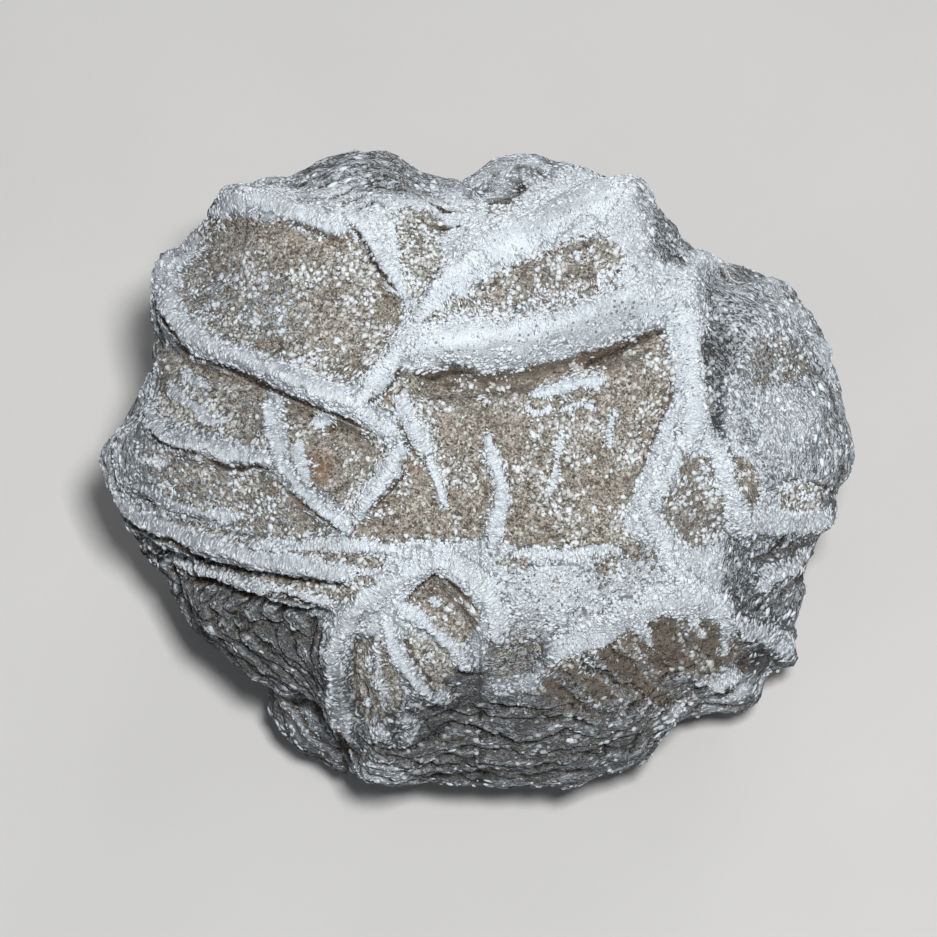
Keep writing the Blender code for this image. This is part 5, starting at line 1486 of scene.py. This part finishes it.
@dataclass
class LumpCoat:
    """Small lumps laid close together on part of the stone, as one piece.

    Its size is a lump's length, width and height, and its gap about the room from one lump to
    the next, in millimetres; most is the largest number of lumps. Its bedding is the share of
    a lump's height that lies below the skin, its grain the direction that lumps follow, where
    they follow one, and its spread how far their tones differ.
    """

    name: str
    finish: GrainFinish
    form: LumpForm
    size: tuple[float, float, float]
    gap: float
    most: int
    seed: int
    bedding: float
    spread: float
    grain: np.ndarray | None = field(default=None, repr=False)

    def spots(self, skin: StoneSkin, density: np.ndarray, dice: np.random.Generator
              ) -> tuple[np.ndarray, np.ndarray]:
        """Choose where the lumps lie.

        Args:
            skin: the finished skin.
            density: how closely they lie at each of its points, 0 to 1.
            dice: the source of chance.

        Returns:
            The number of the triangle under each lump, and its place there as shares of the
            triangle's three corners.
        """
        corners = skin.points[skin.corners]
        cross = np.cross(corners[:, 1] - corners[:, 0], corners[:, 2] - corners[:, 0])
        weight = 0.5 * np.linalg.norm(cross, axis=1) * density[skin.corners].mean(axis=1)
        tries = int(2.6 * weight.sum() / self.gap ** 2)
        heap = np.cumsum(weight)
        chosen = np.searchsorted(heap, dice.random(tries) * heap[-1])
        chosen = np.minimum(chosen, len(weight) - 1)
        first = np.sqrt(dice.random(tries))
        second = dice.random(tries)
        shares = np.column_stack((1.0 - first, first * (1.0 - second), first * second))
        places = (corners[chosen] * shares[:, :, None]).sum(axis=1)
        turned = places @ np.array(Matrix.Rotation(0.6, 3, (1.0, 2.0, 0.5)))
        turned += 0.35 * self.gap * lumpiness(places, 2.5 * self.gap, self.seed)[:, None]
        cells = np.floor(turned / self.gap).astype(np.int64) + CELL_ROW // 2
        keys = (cells[:, 0] * CELL_ROW + cells[:, 1]) * CELL_ROW + cells[:, 2]
        _, kept = np.unique(keys, return_index=True)
        kept = dice.permutation(kept)[:self.most]
        return chosen[kept], shares[kept]

    def build(self, skin: StoneSkin, density: np.ndarray, tone: np.ndarray
              ) -> bpy.types.Object:
        """Make the coat.

        Args:
            skin: the finished skin that it lies on.
            density: how closely the lumps lie at each of its points, 0 to 1.
            tone: the lumps' middle tone at each of its points, 0 to 1.

        Returns:
            The piece.
        """
        dice = np.random.default_rng(self.seed)
        chosen, shares = self.spots(skin, density, dice)
        count = len(chosen)

        def there(values: np.ndarray) -> np.ndarray:
            """Read numbers of the skin's points under each lump."""
            rows = values[skin.corners[chosen]]
            return (rows * shares.reshape(count, 3, *([1] * (rows.ndim - 2)))).sum(axis=1)

        up = there(skin.normals)
        up /= np.linalg.norm(up, axis=1)[:, None]
        way = dice.normal(size=(count, 3))
        if self.grain is not None:
            way = 0.35 * way + 2.2 * there(self.grain)
        way -= (way * up).sum(axis=1)[:, None] * up
        way /= np.linalg.norm(way, axis=1)[:, None]
        aside = np.cross(up, way)
        scale = 0.5 * np.array(self.size) * (0.45 + 1.15 * dice.random((count, 1)) ** 1.6)
        scale = scale * (0.75 + 0.5 * dice.random((count, 3)))
        body, faces = self.form.template()
        bodies = body[None] * (0.72 + 0.56 * dice.random((count, len(body), 1)))
        bodies = bodies * scale[:, None, :]
        middle = there(skin.points) + up * (scale[:, 2] * (1.0 - 2.0 * self.bedding))[:, None]
        points = middle[:, None] + bodies[:, :, :1] * way[:, None] \
            + bodies[:, :, 1:2] * aside[:, None] + bodies[:, :, 2:] * up[:, None]
        tones = there(tone) + self.spread * (dice.random(count) - 0.5)
        mesh = self.mesh(points, faces, np.clip(tones, 0.0, 1.0), body)
        mesh.transform(skin.face.matrix())
        world = read_points(mesh)
        world[:, 2] = np.maximum(world[:, 2], 0.0)
        write_points(mesh, world)
        mesh.materials.append(self.finish.material())
        piece = bpy.data.objects.new(self.name, mesh)
        bpy.context.scene.collection.objects.link(piece)
        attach(piece, BODY)
        return piece

    def mesh(self, points: np.ndarray, faces: np.ndarray, tones: np.ndarray,
             body: np.ndarray) -> bpy.types.Mesh:
        """Join all the lumps in one mesh, each laid out flat in a square of its own.

        Args:
            points: the points of each lump, as lumps by points by coordinates.
            faces: one lump's triangles.
            tones: each lump's tone.
            body: one lump's plain points, which its layout follows.

        Returns:
            The mesh.
        """
        count, size = points.shape[:2]
        corners = (faces[None] + size * np.arange(count)[:, None, None]).reshape(-1)
        mesh = bpy.data.meshes.new(self.name)
        mesh.vertices.add(count * size)
        mesh.vertices.foreach_set("co", points.astype(np.float32).ravel())
        mesh.loops.add(len(corners))
        mesh.loops.foreach_set("vertex_index", corners.astype(np.int32))
        mesh.polygons.add(len(corners) // 3)
        mesh.polygons.foreach_set("loop_start", np.arange(0, len(corners), 3, dtype=np.int32))
        mesh.update(calc_edges=True)
        mesh.shade_smooth()
        write_numbers(mesh, "tone", np.repeat(tones, size))
        around = body[faces]
        turn = np.arctan2(around[:, :, 1], around[:, :, 0])
        centre = np.arctan2(around[:, :, 1].sum(axis=1), around[:, :, 0].sum(axis=1))
        pole = np.hypot(around[:, :, 0], around[:, :, 1]) < 1e-4
        turn = np.where(pole, centre[:, None], turn)
        reach = LUMP_DISC * np.arccos(np.clip(around[:, :, 2], -1.0, 1.0)) / math.pi
        flat = np.stack((0.5 + reach * np.cos(turn), 0.5 + reach * np.sin(turn)), axis=2)
        side = math.ceil(math.sqrt(count))
        square = np.stack((np.arange(count) % side, np.arange(count) // side), axis=1)
        place = (square[:, None, None] + flat[None]) / side
        layer = mesh.uv_layers.new(name=BAKE_LAYER)
        layer.data.foreach_set("uv", place.astype(np.float32).ravel())
        return mesh


@dataclass
class Coating:
    """All that lies on the skin: crust lumps, sand grains and loose flakes."""

    crust_tones: tuple[tuple[float, Colour], ...] = (
        (0.00, (0.055, 0.058, 0.062)), (0.30, (0.25, 0.26, 0.27)), (0.62, (0.58, 0.62, 0.655)),
        (1.00, (0.82, 0.87, 0.91)),
    )
    flake_tones: tuple[tuple[float, Colour], ...] = (
        (0.00, (0.12, 0.110, 0.095)), (0.35, (0.30, 0.287, 0.262)), (0.70, (0.54, 0.54, 0.525)),
        (1.00, (0.77, 0.79, 0.80)),
    )
    sand_tones: tuple[tuple[float, Colour], ...] = (
        (0.00, (0.06, 0.048, 0.036)), (0.25, (0.15, 0.124, 0.096)), (0.55, (0.26, 0.225, 0.18)),
        (0.82, (0.38, 0.35, 0.30)), (1.00, (0.60, 0.59, 0.56)),
    )

    def build(self, skin: StoneSkin) -> list[bpy.types.Object]:
        """Lay every coat on the skin.

        Args:
            skin: the finished skin.

        Returns:
            The pieces.
        """
        front = rise(skin.normals[:, 2], -0.05, 0.25)
        clear = 1.0 - rise(skin.hollow, 0.25, 0.6)
        patchy = skin.crust + 0.35 * lumpiness(skin.points, 0.8, 51)
        crusted = rise(patchy, 0.45, 0.85) * clear
        mixed = rise(patchy, 0.28, 0.50) * (1.0 - rise(patchy, 0.75, 0.95)) * clear
        bare = 1.0 - rise(skin.crust, 0.35, 0.70)
        worn = rise(skin.weather, 0.18, 0.50)
        # Lump tone falls with greyness, dust and dirt, and with the painted shade that they
        # carry.
        white = 0.87 - 0.38 * skin.weather - 0.42 * skin.dust - 0.35 * skin.hollow
        crust = GrainFinish("gypsum_crust_lumps", self.crust_tones)
        flake = GrainFinish("pale_flakes", self.flake_tones)
        sand = GrainFinish("loose_sand", self.sand_tones, 0.75)
        clumps = rise(lumpiness(skin.points, 1.6, 52) + 0.5 * lumpiness(skin.points, 0.7, 54),
                      0.0, 0.85)
        uneven = rise(lumpiness(skin.points, 0.9, 55), -0.5, 0.4)
        loose = bare * clear * clumps * (0.3 + 0.7 * front) * (1.0 - 0.8 * worn)
        sharp, soft = LumpForm.SHARP, LumpForm.ROUND
        # Each coat, with how densely it lies and its middle tone over the skin.
        coats = (
            (LumpCoat("crust_scales", crust, sharp, (0.40, 0.14, 0.08), gap=0.25, most=12000,
                      seed=101, bedding=0.46, grain=skin.flow, spread=0.30),
             0.8 * crusted * front * (1.0 - worn) * (1.0 - skin.smooth), white),
            (LumpCoat("crust_ridges_face", crust, soft, (0.50, 0.26, 0.13), gap=0.27, most=9000,
                      seed=102, bedding=0.46, grain=skin.contour, spread=0.55),
             crusted * front * worn * uneven * (0.05 + 0.28 * skin.dust), white + 0.02),
            (LumpCoat("crust_ridges_sides", crust, sharp, (0.44, 0.27, 0.15), gap=0.36,
                      most=12000, seed=103, bedding=0.50, spread=0.34),
             0.30 * crusted * uneven * (1.0 - front), white),
            (LumpCoat("crust_granules", crust, soft, (0.30, 0.24, 0.16), gap=0.27, most=6000,
                      seed=104, bedding=0.38, spread=0.2),
             mixed * front * uneven * (1.0 - 0.8 * skin.dust) * (1.0 - 0.8 * worn), white),
            (LumpCoat("rim_teeth", crust, sharp, (0.46, 0.15, 0.14), gap=0.26, most=9000,
                      seed=105, bedding=0.40, grain=skin.flow, spread=0.3),
             skin.edge * front, white + 0.02),
            (LumpCoat("loose_flakes", flake, sharp, (0.52, 0.29, 0.14), gap=0.34, most=9000,
                      seed=106, bedding=0.42, spread=0.5), loose, white),
            (LumpCoat("loose_granules", flake, sharp, (0.44, 0.34, 0.20), gap=0.34, most=9000,
                      seed=108, bedding=0.40, spread=0.6), loose, white - 0.04),
            # Sand grains are darker in hollows, where dirt and painted shade lie.
            (LumpCoat("sand_grains", sand, sharp, (0.18, 0.15, 0.12), gap=0.22, most=8000,
                      seed=107, bedding=0.32, spread=1.0),
             bare * (1.0 - 0.7 * skin.hollow) * (0.3 + 0.7 * front),
             0.55 + 0.10 * lumpiness(skin.points, 3.0, 53) - 0.60 * skin.hollow),
        )
        return [coat.build(skin, density, tone) for coat, density, tone in coats]


# ------------------------------------------------------------------ floor, light and camera
@dataclass(frozen=True)
class Studio:
    """The pale floor, the soft light and the camera."""

    face: ShowFace
    view_centre: Point = (-0.76, 0.43)
    view_distance: float = 280.0
    lens: float = 162.45
    sensor: float = 36.0
    view_range: tuple[float, float] = (0.01, 20.0)
    floor_size: float = 3.0
    lamp_aim: tuple[float, float, float] = (0.0, 0.0, -4.0)
    sky: Colour = (0.9, 0.95, 1.0)
    sky_strength: float = 0.12

    def floor(self) -> bpy.types.Object:
        """Lay the floor."""
        bpy.ops.mesh.primitive_plane_add(size=self.floor_size)
        floor = bpy.context.object
        floor.name = "pale_floor"
        floor.data.materials.append(FloorFinish().material())
        return floor

    def camera(self) -> bpy.types.Object:
        """Place the camera square on to the show face."""
        data = bpy.data.cameras.new("camera")
        data.sensor_width = self.sensor
        data.lens = self.lens
        data.clip_start, data.clip_end = self.view_range
        camera = bpy.data.objects.new("camera", data)
        matrix = self.face.matrix()
        turn = matrix.to_3x3().normalized().to_4x4()
        place = matrix @ Vector((*self.view_centre, self.view_distance))
        camera.matrix_world = Matrix.Translation(place) @ turn
        bpy.context.scene.collection.objects.link(camera)
        bpy.context.scene.camera = camera
        return camera

    def lamp(self, name: str, place: tuple[float, float, float], size: float, power: float,
             colour: Colour) -> bpy.types.Object:
        """Hang a square lamp that points at the stone.

        Args:
            name: the lamp's name.
            place: where it hangs, in the show face's millimetres.
            size: the length of its side, in millimetres.
            power: its power, in watts.
            colour: its colour.

        Returns:
            The lamp.
        """
        data = bpy.data.lights.new(name, "AREA")
        data.shape = "SQUARE"
        data.size = size * MM
        data.energy = power
        data.color = colour
        lamp = bpy.data.objects.new(name, data)
        lamp.location = self.face.matrix() @ Vector(place)
        aim = self.face.matrix() @ Vector(self.lamp_aim) - lamp.location
        lamp.rotation_mode = "QUATERNION"
        lamp.rotation_quaternion = aim.to_track_quat("-Z", "Y")
        bpy.context.scene.collection.objects.link(lamp)
        return lamp

    def light(self) -> None:
        """Light the stone from above right of the camera, with soft light all round."""
        self.lamp("key", (32.0, 48.0, 335.0), 45.0, 1.22, (0.99, 0.995, 1.0))
        self.lamp("fill", (-200.0, -40.0, 260.0), 240.0, 0.05, (0.93, 0.96, 1.0))
        self.lamp("rear", (120.0, 330.0, -40.0), 240.0, 0.35, (1.0, 0.98, 0.96))
        world = bpy.data.worlds.new("studio")
        world.use_nodes = True
        sky = world.node_tree.nodes["Background"]
        sky.inputs["Color"].default_value = (*self.sky, 1.0)
        sky.inputs["Strength"].default_value = self.sky_strength
        bpy.context.scene.world = world
        bpy.context.scene.view_settings.view_transform = "Standard"

    def build(self) -> None:
        """Set the studio up."""
        self.floor()
        self.light()
        self.camera()


def main() -> None:
    """Dress the stone and set up the studio round it."""
    logging.basicConfig(level=logging.INFO, format="%(asctime)s %(name)s: %(message)s")
    face = ShowFace()
    Studio(face).build()
    log.info("studio ready")
    skin = StoneSkin(face, StoneFinish())
    stone = skin.build(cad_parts[STONE_NODE])
    log.info("%s: %d triangles", stone.name, len(stone.data.polygons))
    for piece in Coating().build(skin):
        log.info("%s: %d triangles", piece.name, len(piece.data.polygons))


if __name__ == "__main__":
    main()
